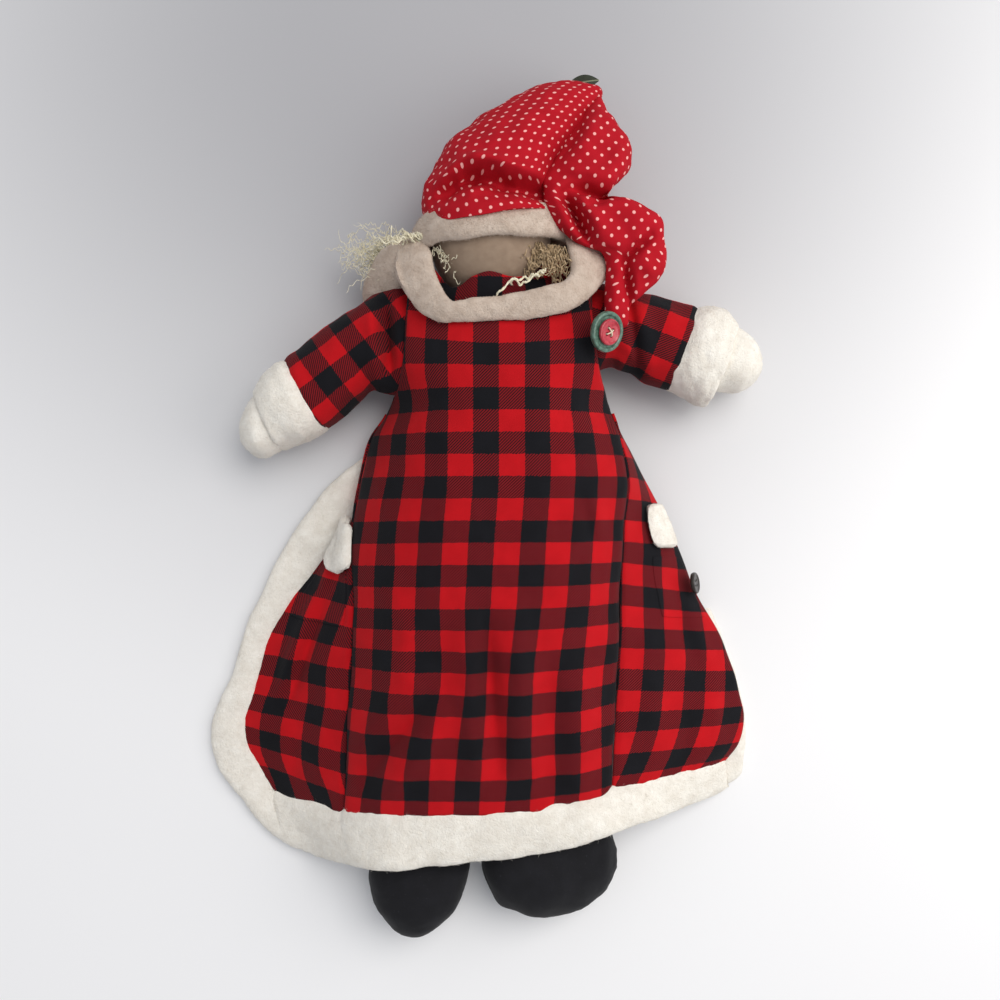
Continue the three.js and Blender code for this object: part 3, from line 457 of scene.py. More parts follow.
def turned(profile, sides, centre):
    """Net of a form turned about the spine's direction: a profile of radius and distance along it."""
    angle = np.linspace(0, 2 * math.pi, sides + 1)
    radius, along = np.array(profile, float).T[..., None]
    across, up = centre[0] + radius * np.sin(angle), centre[2] - radius * np.cos(angle)
    return np.stack([across, along + 0 * angle, up], -1)


skull = [(17, 100), (17.6, 104)]
skull += [(HEAD_RADIUS * math.sin(angle), HEAD[1] - HEAD_RADIUS * math.cos(angle))
          for angle in np.linspace(0.68, math.pi, 40)]
head = sewn("head_ball", lidded(puckered(turned(skull, 64, HEAD), 16, 0.25, 21)), "head", muslin)
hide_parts("head_cover", "head_stuffing")


def ball(name, centre, size, seed, body, material):
    """A small stuffed or moulded knob from a sphere, a little uneven."""
    angle = np.linspace(0.02, math.pi - 0.02, 17)
    shape = turned(np.stack([np.sin(angle), -np.cos(angle)], -1), 24, (0, 0, 0)) * np.array(size)
    return sewn(name, lidded(puckered(shape + np.array(centre), 6, 0.12, seed)), body, material)


nose = ball("nose_ball", (-4.5, 114.5, 9.6), (5.4, 5.0, 5.4), 22, "head", muslin)
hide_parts("nose")

# Black glass seed beads: smooth, glossy, with a faint cloudiness.
bead = finish("black_glass_bead", "#0B0B0D", Roughness=0.12, IOR=1.5)
feed(bead, Base_Color=tint(bead, noise(bead, own_spot(bead), 1 / 900), "#060607", "#17171B"))
for side in ("left", "right"):
    low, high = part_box(f"{side}_eye")
    middle = np.array((low + high) / 2) / MM - SPINE
    eye = ball(f"{side}_eye_bead", middle, (2.3, 2.3, 1.7), 23, "head", bead)
    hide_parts(f"{side}_eye")

# Legs and boots: stuffed black cotton tubes in black stuffed boots, which show below the hem.
# The left boot points straight down, the right one is turned out to the side.

# Black cotton sateen felt: a dense fine weave with a dull bloom and some pale lint.
felt = finish("black_brushed_cotton", "#1B1B1F", Roughness=0.9, Specular_IOR_Level=0.25, Sheen_Weight=0.06)
felt_spot = own_spot(felt)
lint = maths(felt, "GREATER_THAN", noise(felt, felt_spot, 0.7 * MM), 0.72)
felt_tone = tint(felt, noise(felt, felt_spot, 9 * MM, 4.0), "#0F0F12", "#1B1B20")
felt_tone = tint(felt, lint, felt_tone, "#2E2E34")
felt_grain = noise(felt, felt_spot, 0.5 * MM)
feed(felt, Base_Color=felt_tone, Normal=embossed(felt, 0.4, 0.2, felt_grain))

LEFT_LEG = [  # from the hip to the boot, and from its top to its toe: edges in plan, low and high point
    [0, -3, -64, -37, -64, 3, 37], [0.3, -5.5, -90, -41, -90, 2, 38],
    [0.7, -17.5, -136, -52.5, -139, 2, 38], [1, -24, -176, -57, -176, 4, 36],
]
RIGHT_LEG = [
    [0, 37, -64, 3, -64, 3, 37], [0.3, 39, -90, 3.5, -90, 2, 38], [0.7, 41, -136, 5.5, -136, 2, 38],
    [1, 42, -172, 8, -172, 4, 36],
]
LEFT_BOOT = [
    [0, -21, -164, -59, -164, 4, 32.6], [0.22, -17, -178, -65, -178, 1, 35.8],
    [0.45, -16.2, -193, -68.3, -193, 0.4, 40], [0.62, -19, -204, -66.3, -204, 0.4, 41.5],
    [0.78, -24.5, -213.5, -62.2, -213.5, 1, 40], [0.9, -31, -220.5, -56, -220.5, 4, 35],
    [0.97, -37, -224, -50, -224, 10, 28], [1, -42, -225.2, -45, -225.2, 17, 22],
]
RIGHT_BOOT = [
    [0, -9.2, -188, -9.2, -190, 16, 22], [0.05, -8.2, -176, -7.6, -196, 9, 31],
    [0.13, -3, -167, -3.2, -205.5, 3, 38], [0.3, 8, -162, 9, -212.3, 0.5, 42.5],
    [0.5, 22, -160, 23, -215.8, 0.4, 42], [0.68, 36, -161, 36.5, -213.8, 0.4, 38],
    [0.84, 49, -164, 49, -208, 1, 33], [0.94, 57, -171, 56, -202, 4, 28], [1, 61, -182, 61, -192, 12, 21],
]
LEGS = (("left", LEFT_LEG, LEFT_BOOT, 31), ("right", RIGHT_LEG, RIGHT_BOOT, 35))
for side, leg_rows, boot_rows, seed in LEGS:
    leg_net = puckered(stuffed(leg_rows, 40, 40), 14, 0.6, seed)
    leg = sewn(f"{side}_leg_tube", lidded(leg_net), f"{side}_leg", felt)
    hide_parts(f"{side}_leg")
    boot_net = puckered(stuffed(boot_rows, 60, 64, 0.92), 18, 0.45, seed + 1)
    boot_net = puckered(boot_net, 5, 0.12, seed + 2)
    boot = sewn(f"{side}_boot_body", lidded(boot_net), f"{side}_leg", felt)
    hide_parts(f"{side}_boot")

# Arms: stuffed check sleeves set into the coat's armholes, with fleece cuffs and cream mittens.
LEFT_SLEEVE = [  # from the armhole outwards: edges in plan, low and high point
    [0, -44, 112, -46, 54, 6, 44], [0.1, -51.7, 112.2, -56, 54, 3.5, 46],
    [0.22, -60, 107.5, -61, 55, 2, 46.5], [0.36, -69.8, 102.4, -66.2, 56.5, 1, 46.5],
    [0.5, -80.1, 95.6, -71.5, 52.5, 1, 46], [0.62, -87, 91, -77.6, 46, 1, 45.5],
    [0.74, -93.1, 86.9, -82, 42, 1.5, 45], [0.88, -103.4, 78, -87, 38.3, 2, 44.5],
    [0.96, -109, 73.8, -91, 36.6, 2.6, 44], [1, -111, 71, -93, 37.6, 4, 42.5],
]
RIGHT_SLEEVE = [
    [0, 44, 112, 44, 64, 6, 44], [0.14, 55, 111, 55.8, 68.6, 3.5, 46], [0.3, 66, 108, 62, 67.4, 2, 46],
    [0.44, 73.5, 106.4, 68.8, 65, 1, 45.5], [0.58, 80.5, 105.3, 73.9, 61, 1, 45],
    [0.72, 88, 103.2, 79, 59.5, 1, 45], [0.84, 94, 101.5, 83, 58.2, 1.5, 44.5],
    [0.95, 100.5, 99.4, 86.8, 57.2, 2.4, 44], [1, 102, 97.5, 88.4, 58, 4, 42.5],
]
LEFT_CUFF = [
    [0, -107.5, 71.6, -89, 37.2, 5, 42], [0.12, -111.7, 71.8, -92.2, 34.6, 2.5, 45.2],
    [0.4, -118.2, 67.8, -98.5, 30.6, 1, 46.5], [0.75, -124.2, 60.8, -107, 28.4, 1.4, 44.6],
    [0.93, -126.8, 55.6, -112.4, 26.2, 3.4, 42.2], [1, -126.4, 54, -113.4, 26.6, 5, 40.6],
]
RIGHT_CUFF = [
    [0, 98.5, 98.4, 84, 58.2, 5, 42], [0.14, 104.5, 99.8, 89.5, 55.6, 2.5, 45],
    [0.42, 112.7, 99.1, 96.5, 52, 1, 46.2], [0.75, 119.3, 94.3, 103.2, 49, 1.4, 44.8],
    [0.93, 122.4, 89, 107.6, 50, 4, 41.6], [1, 121, 87, 108.4, 53, 8, 37.5],
]
LEFT_MITTEN = [
    [0, -108, 59, -97, 35, 10, 38], [0.4, -119, 58, -107.5, 29, 5, 40.5],
    [0.62, -127.2, 53.2, -116, 24.2, 3.4, 41], [0.8, -131.6, 46, -122.4, 21.8, 4.4, 39],
    [0.92, -134, 39.5, -128.6, 23.8, 9, 34], [1, -134.3, 34.5, -132.8, 29, 18, 26],
]
RIGHT_MITTEN = [
    [0, 101, 90, 92, 60, 10, 38], [0.4, 117, 90.5, 104, 56.2, 5, 40.5],
    [0.62, 126, 87, 114, 56.4, 4, 40.5], [0.8, 132, 81, 123.6, 55.6, 5, 38.5],
    [0.92, 134.6, 75, 130.6, 60.2, 9, 34.5], [1, 135, 70.5, 134.4, 66.5, 18, 26],
]
LEFT_SLEEVE_FOLDS = [  # from x y to x y, half width, height
    [-58, 99, -55, 62, 3.6, -11], [-65, 100, -62, 64, 4, 2.4], [-66, 60, -76, 72, 3.2, -1.6],
    [-70, 98, -84, 84, 4, 1.0], [-90, 52, -98, 66, 4, -0.9], [-102, 46, -108, 68, 2, -0.9],
]
RIGHT_SLEEVE_FOLDS = [
    [64, 104, 70, 66, 2.2, -3.0], [60, 104, 62, 72, 4, 1.4], [70, 100, 75, 70, 4, 1.5],
    [58, 76, 66, 70, 2.5, -1.6], [84, 96, 92, 70, 5, 0.7], [88, 62, 101, 92, 2, -0.9],
]


# Polyester fleece: short matted pile, off-white, soft at every edge; its greyer patches, spread at random,
# are painted shade for the hollows between the mats.
def pile_cloth(name, hollow, raised):
    """A fleece of the colours given for its hollows, which are painted shade, and for its raised mats."""
    material = finish(name, raised, Roughness=1.0, Specular_IOR_Level=0.1, Sheen_Weight=0.12)
    spot = own_spot(material)
    mats = ranged(material, noise(material, spot, 7 * MM, 6.0, 0.75), 0.28, 0.68)
    # Painted shade: the noise greys the fleece in patches, standing for the hollows between its mats.
    tone = tint(material, mats, hollow, raised)
    pile = noise(material, spot, 1.1 * MM, 3.0, 0.7)
    feed(material, Base_Color=tone, Normal=embossed(material, 0.9, 0.8, pile))
    return material


fleece = pile_cloth("white_polyester_fleece", "#E4DDD2", "#F9F5ED")
FIBRE_HALF = 0.085  # mm, drawn thicker than the real 0.02 so that it shows


def fuzzy(piece, per_mm2, length, seed):
    """Adds short fibres all over a fleece piece: each is one slim closed spike."""
    draw = np.random.default_rng(seed)
    mesh = piece.data
    mesh.calc_loop_triangles()
    points = np.array([vertex.co for vertex in mesh.vertices]) / MM
    corners = points[np.array([triangle.vertices for triangle in mesh.loop_triangles])]
    normal = np.cross(corners[:, 1] - corners[:, 0], corners[:, 2] - corners[:, 0])
    area = np.linalg.norm(normal, axis=1) / 2
    count = int(per_mm2 * area.sum())
    pick = draw.choice(len(area), count, p=area / area.sum())
    shares = draw.dirichlet((1, 1, 1), count)
    foot = (corners[pick] * shares[..., None]).sum(axis=1)
    way = normal[pick] / (2 * area[pick])[:, None] + 0.75 * draw.normal(size=(count, 3))
    way /= np.linalg.norm(way, axis=1, keepdims=True)
    tip = foot + way * (length * draw.uniform(0.35, 1.15, count))[:, None]
    tip[:, 2] = np.maximum(tip[:, 2], 0.2)
    side = np.cross(way, draw.normal(size=(count, 3)))
    side *= FIBRE_HALF / np.linalg.norm(side, axis=1, keepdims=True)
    other = np.cross(way, side)
    foot = foot - 0.25 * way
    back = foot - 0.5 * side
    spikes = np.stack([foot + side, back + 0.87 * other, back - 0.87 * other, tip], axis=1)
    ends = (np.arange(count) * 4)[:, None, None] + np.array([[0, 1, 3], [1, 2, 3], [2, 0, 3], [2, 1, 0]])
    pelt = bpy.data.meshes.new(piece.name + "_fibres")
    pelt.from_pydata((spikes.reshape(-1, 3) * MM).tolist(), [], ends.reshape(-1, 3).tolist())
    pelt.materials.append(mesh.materials[0])
    fur = bpy.data.objects.new(pelt.name, pelt)
    bpy.context.scene.collection.objects.link(fur)
    joined([piece, fur], piece.name)


SLEEVES = {  # rows of each piece, axis of the sleeve in plan, where its bend starts and ends
    "left": (LEFT_SLEEVE, LEFT_SLEEVE_FOLDS, LEFT_CUFF, LEFT_MITTEN, ((-84.2, 75.5), (-0.8, -0.59)),
             (-50, 84, 24), (-72, 73, 24)),
    "right": (RIGHT_SLEEVE, RIGHT_SLEEVE_FOLDS, RIGHT_CUFF, RIGHT_MITTEN, ((88.1, 87.8), (0.93, -0.36)),
              (50, 88, 24), (72, 81, 24)),
}
for side, (sleeve_rows, folds, cuff_rows, mitten_rows, axis, start, end) in SLEEVES.items():
    seed = 41 if side == "left" else 46
    sleeve_net = puckered(folded(stuffed(sleeve_rows, 90, 88, 0.9), folds), 11, 0.35, seed)
    sleeve_net = lidded(sleeve_net)
    sleeve = sewn(f"{side}_sleeve_tube", sleeve_net, None, flannel,
                  laid_flat(sleeve_net, axis=axis))
    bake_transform(sleeve)
    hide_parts(f"{side}_sleeve", f"{side}_arm")
    cuff_net = matted(stuffed(cuff_rows, 40, 96, 0.9), 15, 0.4, seed + 1)
    cuff = sewn(f"{side}_cuff_band", lidded(cuff_net), f"{side}_arm", fleece)
    fuzzy(cuff, 1.6, 1.3, seed + 2)
    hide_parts(f"{side}_cuff")
    mitten_net = puckered(stuffed(mitten_rows, 40, 72, 0.9), 10, 0.35, seed + 3)
    mitten = sewn(f"{side}_mitten_hand", lidded(mitten_net), f"{side}_arm", fleece)
    fuzzy(mitten, 0.9, 0.9, seed + 4)
    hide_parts(f"{side}_mitten")

# Coat: a back and two fronts of the check flannel, draped over the body and spread on the table.
# The left front lies open, the right front drops over the side with its edge turned under.
BACK_TOP = 62.4  # the cloth's height over the torso's back
ARCH = 2.8  # how square the back stands over the body
COAT_CLOTH = 1.8  # its thickness, mm
BACK = curve_through([  # share of the length: centre x y z, left seam x y z, right seam x y z
    [0, 0, 90.5, BACK_TOP - 2, -47, 109, 44, 47, 109, 44],
    [0.08, 0, 64, BACK_TOP, -50, 68, 45, 50, 68, 45],
    [0.16, 0, 46, BACK_TOP, -59.5, 46, 16, 58.6, 46, 24],
    [0.22, 0, 33, BACK_TOP, -68.6, 33, 15, 62, 33, 31],
    [0.3, 0, 12, BACK_TOP + 0.2, -74, 12, 16, 65, 12, 38],
    [0.42, -2, -17, BACK_TOP + 0.5, -77, -20, 28, 63, -17, 40],
    [0.56, -4, -52, BACK_TOP, -76, -55, 32, 61.5, -50, 39],
    [0.78, -7, -105, BACK_TOP - 5, -78.5, -105, 30, 59.5, -99, 38],
    [1, -10, -156, BACK_TOP - 11.5, -81, -161, 29, 57, -147.5, 38],
])
LEFT_EDGE = curve_through([  # share of the length: front edge x y z
    [0.16, -54, 46, 3], [0.3, -69, 12, 3.5], [0.42, -84, -18, 4.5], [0.56, -110, -50, 5],
    [0.68, -126, -78, 5], [0.78, -131.5, -101, 5], [0.88, -136.6, -121, 5], [0.93, -134.5, -132.5, 5],
    [0.97, -127, -144.5, 5], [1, -120, -156, 5],
])
RIGHT_EDGE = curve_through([
    [0.16, 56.5, 45.8, 20], [0.22, 64.6, 33, 14], [0.3, 76.5, 12, 10], [0.42, 91, -18, 9.4],
    [0.56, 106, -54, 9.4], [0.68, 119, -78, 9.4], [0.78, 126, -100, 9.4], [0.87, 129, -115, 9.4],
    [0.94, 126, -129, 9.4], [1, 119, -138.5, 9.4],
])
BACK_FOLDS = [  # from x y to x y, half width, height
    [-7, -56, -1, -134, 5.0, -5.5], [-17, -56, -13, -136, 6.0, 3.2], [8, -54, 12, -136, 6.5, 3.0],
    [-36, -98, -68, -142, 4.5, -5.0], [-28, -108, -58, -152, 5.5, 3.4], [-46, -90, -78, -130, 5.5, 2.6],
    [24, -74, 27, -150, 6.5, -3.6], [39, -84, 41, -148, 6.5, 2.4], [-55, -30, -40, -52, 6.0, -1.2],
    [40, 3, 45, -18, 3.5, -1.6], [46, 2, 50, -20, 4.0, 1.2], [-30, -40, 34, -50, 8.0, -1.0],
    [-62, 8, -52, -30, 5.0, 1.0], [-46, -60, -50, -88, 5.0, 1.4], [-28, -62, -30, -96, 6.0, -1.4],
]
LEFT_FOLDS = [
    [-98, -52, -119, -106, 3.6, 4.2], [-91, -54, -111, -106, 3.4, -3.6],
    [-122, -92, -128, -124, 4.0, 1.4], [-86, -70, -96, -150, 5.0, 1.6],
    [-106, -112, -108, -152, 5.0, -1.6], [-88, -30, -94, -48, 3.5, 2.6],
]
RIGHT_FOLDS = [
    [98, -52, 110, -86, 5.0, 1.6], [88, -40, 100, -84, 5.0, -1.2], [112, -92, 114, -128, 6.0, 1.6],
    [76, -60, 80, -130, 7.0, 1.2], [98, -104, 96, -134, 5.0, -1.4],
]


def back_points(across, share):
    """Points of the coat's back: across runs from -1 at the left seam to 1 at the right seam."""
    cx, cy, cz, lx, ly, lz, rx, ry, rz = np.moveaxis(BACK(share), -1, 0)
    sx, sy, sz = (np.where(across < 0, left, right) for left, right in ((lx, rx), (ly, ry), (lz, rz)))
    side = np.abs(across)
    height = sz + (cz - sz) * (1 - side**ARCH)
    return np.stack([cx + (sx - cx) * side, cy + (sy - cy) * side**2, height], axis=-1)


def front_points(edge_at, seam, across, share, sag):
    """Points of a front: across runs from 0 at its seam to 1 at its edge."""
    top = back_points(seam + 0 * across, share + 0 * across)
    edge = edge_at(share + 0 * across)
    net = top + (edge - top) * across[..., None]
    net[..., 2] = edge[..., 2] + (top[..., 2] - edge[..., 2]) * (1 - across) ** sag
    return net


def seamed(net, columns, depth=1.3):
    """Draws the cloth in along its seams, given as the columns that they run along."""
    groove = np.zeros(net.shape[1])
    for column in columns:
        groove += np.exp(-((np.arange(net.shape[1]) - column) / 1.6) ** 2)
    return net - facing(net) * (depth * groove)[None, :, None]


share = np.linspace(0, 1, 150)[:, None]
back_net = back_points(np.linspace(-1, 1, 127)[None, :] + 0 * share, share + np.zeros((1, 127)))
back_cut = back_net
back_net = puckered(folded(back_net, BACK_FOLDS), 34, 0.5, 51)
back_net = seamed(puckered(back_net, 9, 0.12, 52), (0, 126))
share = np.linspace(0.165, 1, 130)[:, None]
across = np.linspace(0, 1, 64)[None, :]
left_net = front_points(LEFT_EDGE, -1, across + 0 * share, share, 1.15)
left_net = seamed(puckered(folded(left_net, LEFT_FOLDS), 26, 0.6, 53), (0,))
right_net = front_points(RIGHT_EDGE, 1, across + 0 * share, share, 0.8)
right_net = seamed(puckered(folded(right_net, RIGHT_FOLDS), 26, 0.5, 54), (0,))
for net in (left_net, right_net):
    net[..., 2] = np.maximum(net[..., 2], 2.2)

back_flat = laid_flat(back_net, red_at=(5.8, 38.8), even=63, level=0.4, cut=back_cut)
left_flat = laid_flat(left_net, red_at=(-82.6, -81.1), even=0, turn=-1)
right_flat = laid_flat(right_net, red_at=(67.7, -59), even=0, turn=3, lean=9)
coat_back = sewn("coat_back_panel", back_net, "torso", flannel, back_flat)
coat_left = sewn("coat_left_panel", left_net, "torso", flannel, left_flat)
coat_right = sewn("coat_right_panel", right_net, "torso", flannel, right_flat)
for panel in (coat_back, coat_left, coat_right):
    modified(panel, "SOLIDIFY", thickness=COAT_CLOTH * MM, offset=-1)
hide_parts("coat_back")
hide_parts("coat_left_front")
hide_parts("coat_right_front")

# Coat trim: a strip of fleece sewn under the cloth's edge all round the hem and up the fronts.
# It is one strip, mitred at the left corner; up the right front it is turned under and only peeks out.
TRIM_THICK = 6.4  # mm
TUCK = 2.5  # how far it goes under the cloth's edge
FRONT_STEPS, CORNER_STEPS, HEM_STEPS = 90, 24, 190  # points along the front, the corner and the hem
MITRE = FRONT_STEPS + CORNER_STEPS // 2
FRONT_OUTER = [  # the strip's outer edge, x y z
    (-71, 24, 3.6), (-85.2, 13.3, 3.6), (-93.2, 5.3, 3.5), (-101.2, -5.3, 3.5), (-109.2, -16, 3.4),
    (-117.2, -29.3, 3.4), (-123.6, -42.6, 3.4), (-130.5, -55.9, 3.4), (-135.8, -69.2, 3.4),
    (-139.5, -82.6, 3.4), (-144, -96, 3.4), (-149.1, -107, 3.4), (-153.2, -118, 3.4), (-154.2, -130, 3.4),
    (-150.6, -142, 3.4),
]
CORNER_OUTER = [
    (-150.6, -142, 3.4), (-143.8, -151.8, 3.4), (-136, -161, 3.4), (-130, -170, 3.4), (-122, -177.5, 3.8),
    (-110.5, -184.2, 5.4),
]
HEM_OUTER = [
    (-110.5, -184.2, 5.4), (-97.9, -187.2, 9.5), (-83.8, -187, 23.4), (-66.6, -185.4, 41),
    (-50.8, -184.6, 47), (-34, -182.6, 46.8), (-10, -180.2, 45.8), (8.3, -178, 45.4), (28.2, -175, 45),
    (43.4, -171.6, 45), (55.7, -168, 41.4), (70.2, -165, 34.6), (84, -162.8, 25.4), (101.4, -158.8, 14),
    (114, -155.8, 6.4), (122, -152.8, 4.4),
]
UNDER_OUTER = [
    (112, -58, 3.6), (122.5, -84, 3.4), (128.4, -104, 3.3), (130.8, -118, 3.3), (130.4, -136, 3.3),
    (128, -147, 3.3), (119, -153, 3.3),
]
UNDER_INNER = [
    (102, -57, 5), (109, -84, 4.6), (113, -104, 4.4), (114, -118, 4.2), (113, -132, 4), (110, -141, 4),
    (105, -146, 4),
]


def resampled(points, count):
    """Points at even steps along a smooth line through the points given."""
    points = np.array(points, float)
    run = np.concatenate([[0], np.cumsum(np.linalg.norm(np.diff(points, axis=0), axis=1))])
    return curve_through(np.column_stack([run, points]))(np.linspace(0, run[-1], count))


def band(outer, inner, arch):
    """Net of a band between two lines of points; arch lifts its middle, mm."""
    share = (1 - np.cos(np.linspace(0, math.pi, 25)))[None, :, None] / 2
    net = outer[:, None] + (inner - outer)[:, None] * share
    net[..., 2] += arch * np.sin(math.pi * share[..., 0])
    return net


def pillow(net, thick):
    """Net of a padded band or patch about the net given, thinning out in a round to its edges."""
    rows, columns = net.shape[:2]
    side = np.sqrt(1 - np.abs(np.cos(np.linspace(0, math.pi, columns))) ** 6)
    end = np.sqrt(1 - np.abs(np.linspace(-1, 1, rows)) ** 24)
    half = (thick / 2 * end[:, None] * side[None])[..., None] * facing(net)
    return np.concatenate([net + half, (net - half)[:, -2::-1]], axis=1)


hem_edge = np.concatenate([left_net[-1, :0:-1], back_net[-1], right_net[-1, 1:]])
hem_edge = resampled(hem_edge, HEM_STEPS)
level_run = np.pad(hem_edge[:, 2], 12, mode="edge")
hem_edge[:, 2] = np.convolve(level_run, np.hanning(27)[1:-1] / 13, mode="valid")  # even over the seams
corner = np.repeat(left_net[-1:, -1], CORNER_STEPS, axis=0)
inner = np.concatenate([resampled(left_net[16:, -1], FRONT_STEPS), corner, hem_edge])
corner_outer = resampled(CORNER_OUTER, CORNER_STEPS + 2)[1:-1]
outer = np.concatenate([resampled(FRONT_OUTER, FRONT_STEPS), corner_outer, resampled(HEM_OUTER, HEM_STEPS)])
under = (inner - outer) / np.linalg.norm(inner - outer, axis=1, keepdims=True)
inner = inner + TUCK * under - np.array([0, 0, COAT_CLOTH + 1.2])
trim_net = matted(pillow(band(outer, inner, 1.2), TRIM_THICK), 18, 0.4, 63, 0.14)
trim_net[..., 2] = np.maximum(trim_net[..., 2], 0.3)
left_trim = sewn("left_front_fleece", lidded(trim_net[:MITRE + 1], first=False), "torso", fleece)
hem_trim = sewn("hem_fleece", lidded(trim_net[MITRE:], last=False), "torso", fleece)
under_net = pillow(band(resampled(UNDER_OUTER, 80), resampled(UNDER_INNER, 80), 0.6), 5.2)
under_net = matted(under_net, 14, 0.35, 65, 0.14)
under_net[..., 2] = np.maximum(under_net[..., 2], 0.3)
right_trim = sewn("right_front_fleece", under_net, "torso", fleece)
fuzzy(left_trim, 1.5, 1.8, 67)
fuzzy(hem_trim, 1.9, 2.3, 68)
fuzzy(right_trim, 1.3, 1.8, 69)
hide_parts("left_front_trim")
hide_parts("hem_trim")
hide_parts("right_front_trim")

# Collar: a doubled band of fleece round the neckline, standing away from the neck on the right.
# On the left it turns over at the shoulder and its end falls behind the sleeve. Its fleece, like the
# brim's, is painted greyer and pinker: painted shade under the hat and a painted red reflection from it.
shaded_fleece = pile_cloth("polyester_fleece_painted_shade", "#B9A595", "#D7C7B9")
COLLAR = [  # from the left end: outer edge x y z, inner edge x y z
    [0, -49, 127.4, 44, -38, 129, 50], [0.06, -51.4, 120, 45, -34.6, 124, 53],
    [0.13, -51, 112, 47, -33, 117, 55], [0.2, -47, 102.6, 50.5, -30.6, 109, 57],
    [0.27, -39.8, 93, 55, -27, 101, 60], [0.34, -30.6, 88, 58.5, -22.5, 96, 63],
    [0.41, -18.6, 86.9, 60.5, -15, 97.2, 64], [0.5, -4.5, 87.6, 61, -2.3, 98.6, 64.5],
    [0.6, 11.7, 88.2, 61, 13, 100.9, 64.5], [0.68, 25.8, 90.4, 60, 24, 103.6, 63.5],
    [0.76, 36.8, 94.4, 57, 31.5, 106.6, 62], [0.83, 45.7, 102.2, 53, 34.8, 111.6, 60],
    [0.9, 53, 110, 48.5, 34.6, 118.6, 57], [1, 62, 123.5, 40, 31.6, 132, 49],
]
LAPEL = [  # down the turned end: outer edge x y z, inner edge x y z
    [0, -45, 129.6, 44, -40, 126, 45], [0.25, -58.5, 126, 38, -45, 121, 43.5],
    [0.5, -66.4, 118.4, 29, -47, 115, 42.5], [0.75, -70.8, 109, 20, -49, 108.5, 38.5],
    [1, -71, 101, 12, -51, 100, 31],
]

collar_edges = curve_through(COLLAR)(np.linspace(0, 1, 150))
collar_net = matted(pillow(band(collar_edges[:, :3], collar_edges[:, 3:], 1.6), 5.6), 14, 0.35, 71)
fold_run = np.exp(-((np.arange(150) - 20) / 9) ** 4)
fold_line = fold_run[:, None] * np.exp(-((np.arange(49) - 6) / 0.9) ** 2)[None]
collar_net = collar_net - 1.5 * fold_line[..., None] * facing(collar_net)
collar = sewn("collar_band", collar_net, None, shaded_fleece)
fuzzy(collar, 1.7, 1.3, 73)
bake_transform(collar)
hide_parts("coat_collar")
lapel_edges = curve_through(LAPEL)(np.linspace(0, 1, 60))
lapel_net = matted(pillow(band(lapel_edges[:, :3], lapel_edges[:, 3:], 2.6), 5), 14, 0.35, 74)
lapel_flap = sewn("collar_left_end", lapel_net, None, shaded_fleece)
fuzzy(lapel_flap, 1.5, 1.3, 76)
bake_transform(lapel_flap)

# Pockets: a check patch on each front under a folded fleece top, and a dark button at the right one.
# Both stand on the steep sides of the coat, so mostly their edges show.
POCKET_TOP_THICK = 5.5


def sampled(values, rows, columns):
    """Values between the points of a panel's grid, at shares of its rows and columns."""
    row, column = rows * (values.shape[0] - 1), columns * (values.shape[1] - 1)
    r = np.clip(np.floor(row).astype(int), 0, values.shape[0] - 2)
    c = np.clip(np.floor(column).astype(int), 0, values.shape[1] - 2)
    down, over = (row - r)[..., None], (column - c)[..., None]
    upper = values[r, c] * (1 - over) + values[r, c + 1] * over
    lower = values[r + 1, c] * (1 - over) + values[r + 1, c + 1] * over
    return upper * (1 - down) + lower * down


def spread(rows, columns, count, corner):
    """Shares of a panel's rows and columns over a patch on it, whose corners are rounded."""
    over, down = np.meshgrid(np.linspace(-1, 1, count), np.linspace(-1, 1, count))
    over, down = over * (1 - corner * down**4), down * (1 - corner * over**4)
    row = rows[0] + (rows[1] - rows[0]) * (down + 1) / 2
    return row, columns[0] + (columns[1] - columns[0]) * (over + 1) / 2


POCKETS = {  # fleece top: rows and columns of the panel; patch: rows and columns
    "left": (left_net, left_flat, (0.258, 0.396), (-0.1, 0.82), (0.38, 0.53), (0.1, 0.86)),
    "right": (right_net, right_flat, (0.232, 0.342), (0.42, 0.92), (0.36, 0.52), (0.44, 0.96)),
}
for side, (net, flat, top_rows, top_columns, rows, columns) in POCKETS.items():
    seed, corner = (81, 0.3) if side == "left" else (85, 0.16)
    top = sampled(net + 3.2 * facing(net), *spread(top_rows, top_columns, 31, corner))
    top = puckered(pillow(top, POCKET_TOP_THICK), 8, 0.3, seed)
    top = sewn(f"{side}_pocket_fleece", top, "torso", fleece)
    fuzzy(top, 1.6, 1.0, seed + 1)
    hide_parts(f"{side}_pocket_cuff")
    spots = spread(rows, columns, 40, 0.04)
    patch = sampled(net + 0.4 * facing(net), *spots)
    pocket = sewn(f"{side}_pocket_patch", patch, "torso", flannel, sampled(flat, *spots))
    modified(pocket, "SOLIDIFY", thickness=1.4 * MM, offset=-1)
    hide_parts(f"{side}_pocket")


# Polyester resin buttons: moulded, satin, with a little wear and dust in the hollows.
def resin(name, dark, pale, roughness):
    """A button resin of the colours given for its dust and its body."""
    material = finish(name, pale, Roughness=roughness, IOR=1.5, Coat_Weight=0.25, Coat_Roughness=0.2)
    worn = ranged(material, noise(material, own_spot(material), 1.6 * MM, 4.0), 0.35, 0.65)
    feed(material, Base_Color=tint(material, worn, dark, pale))
    return material


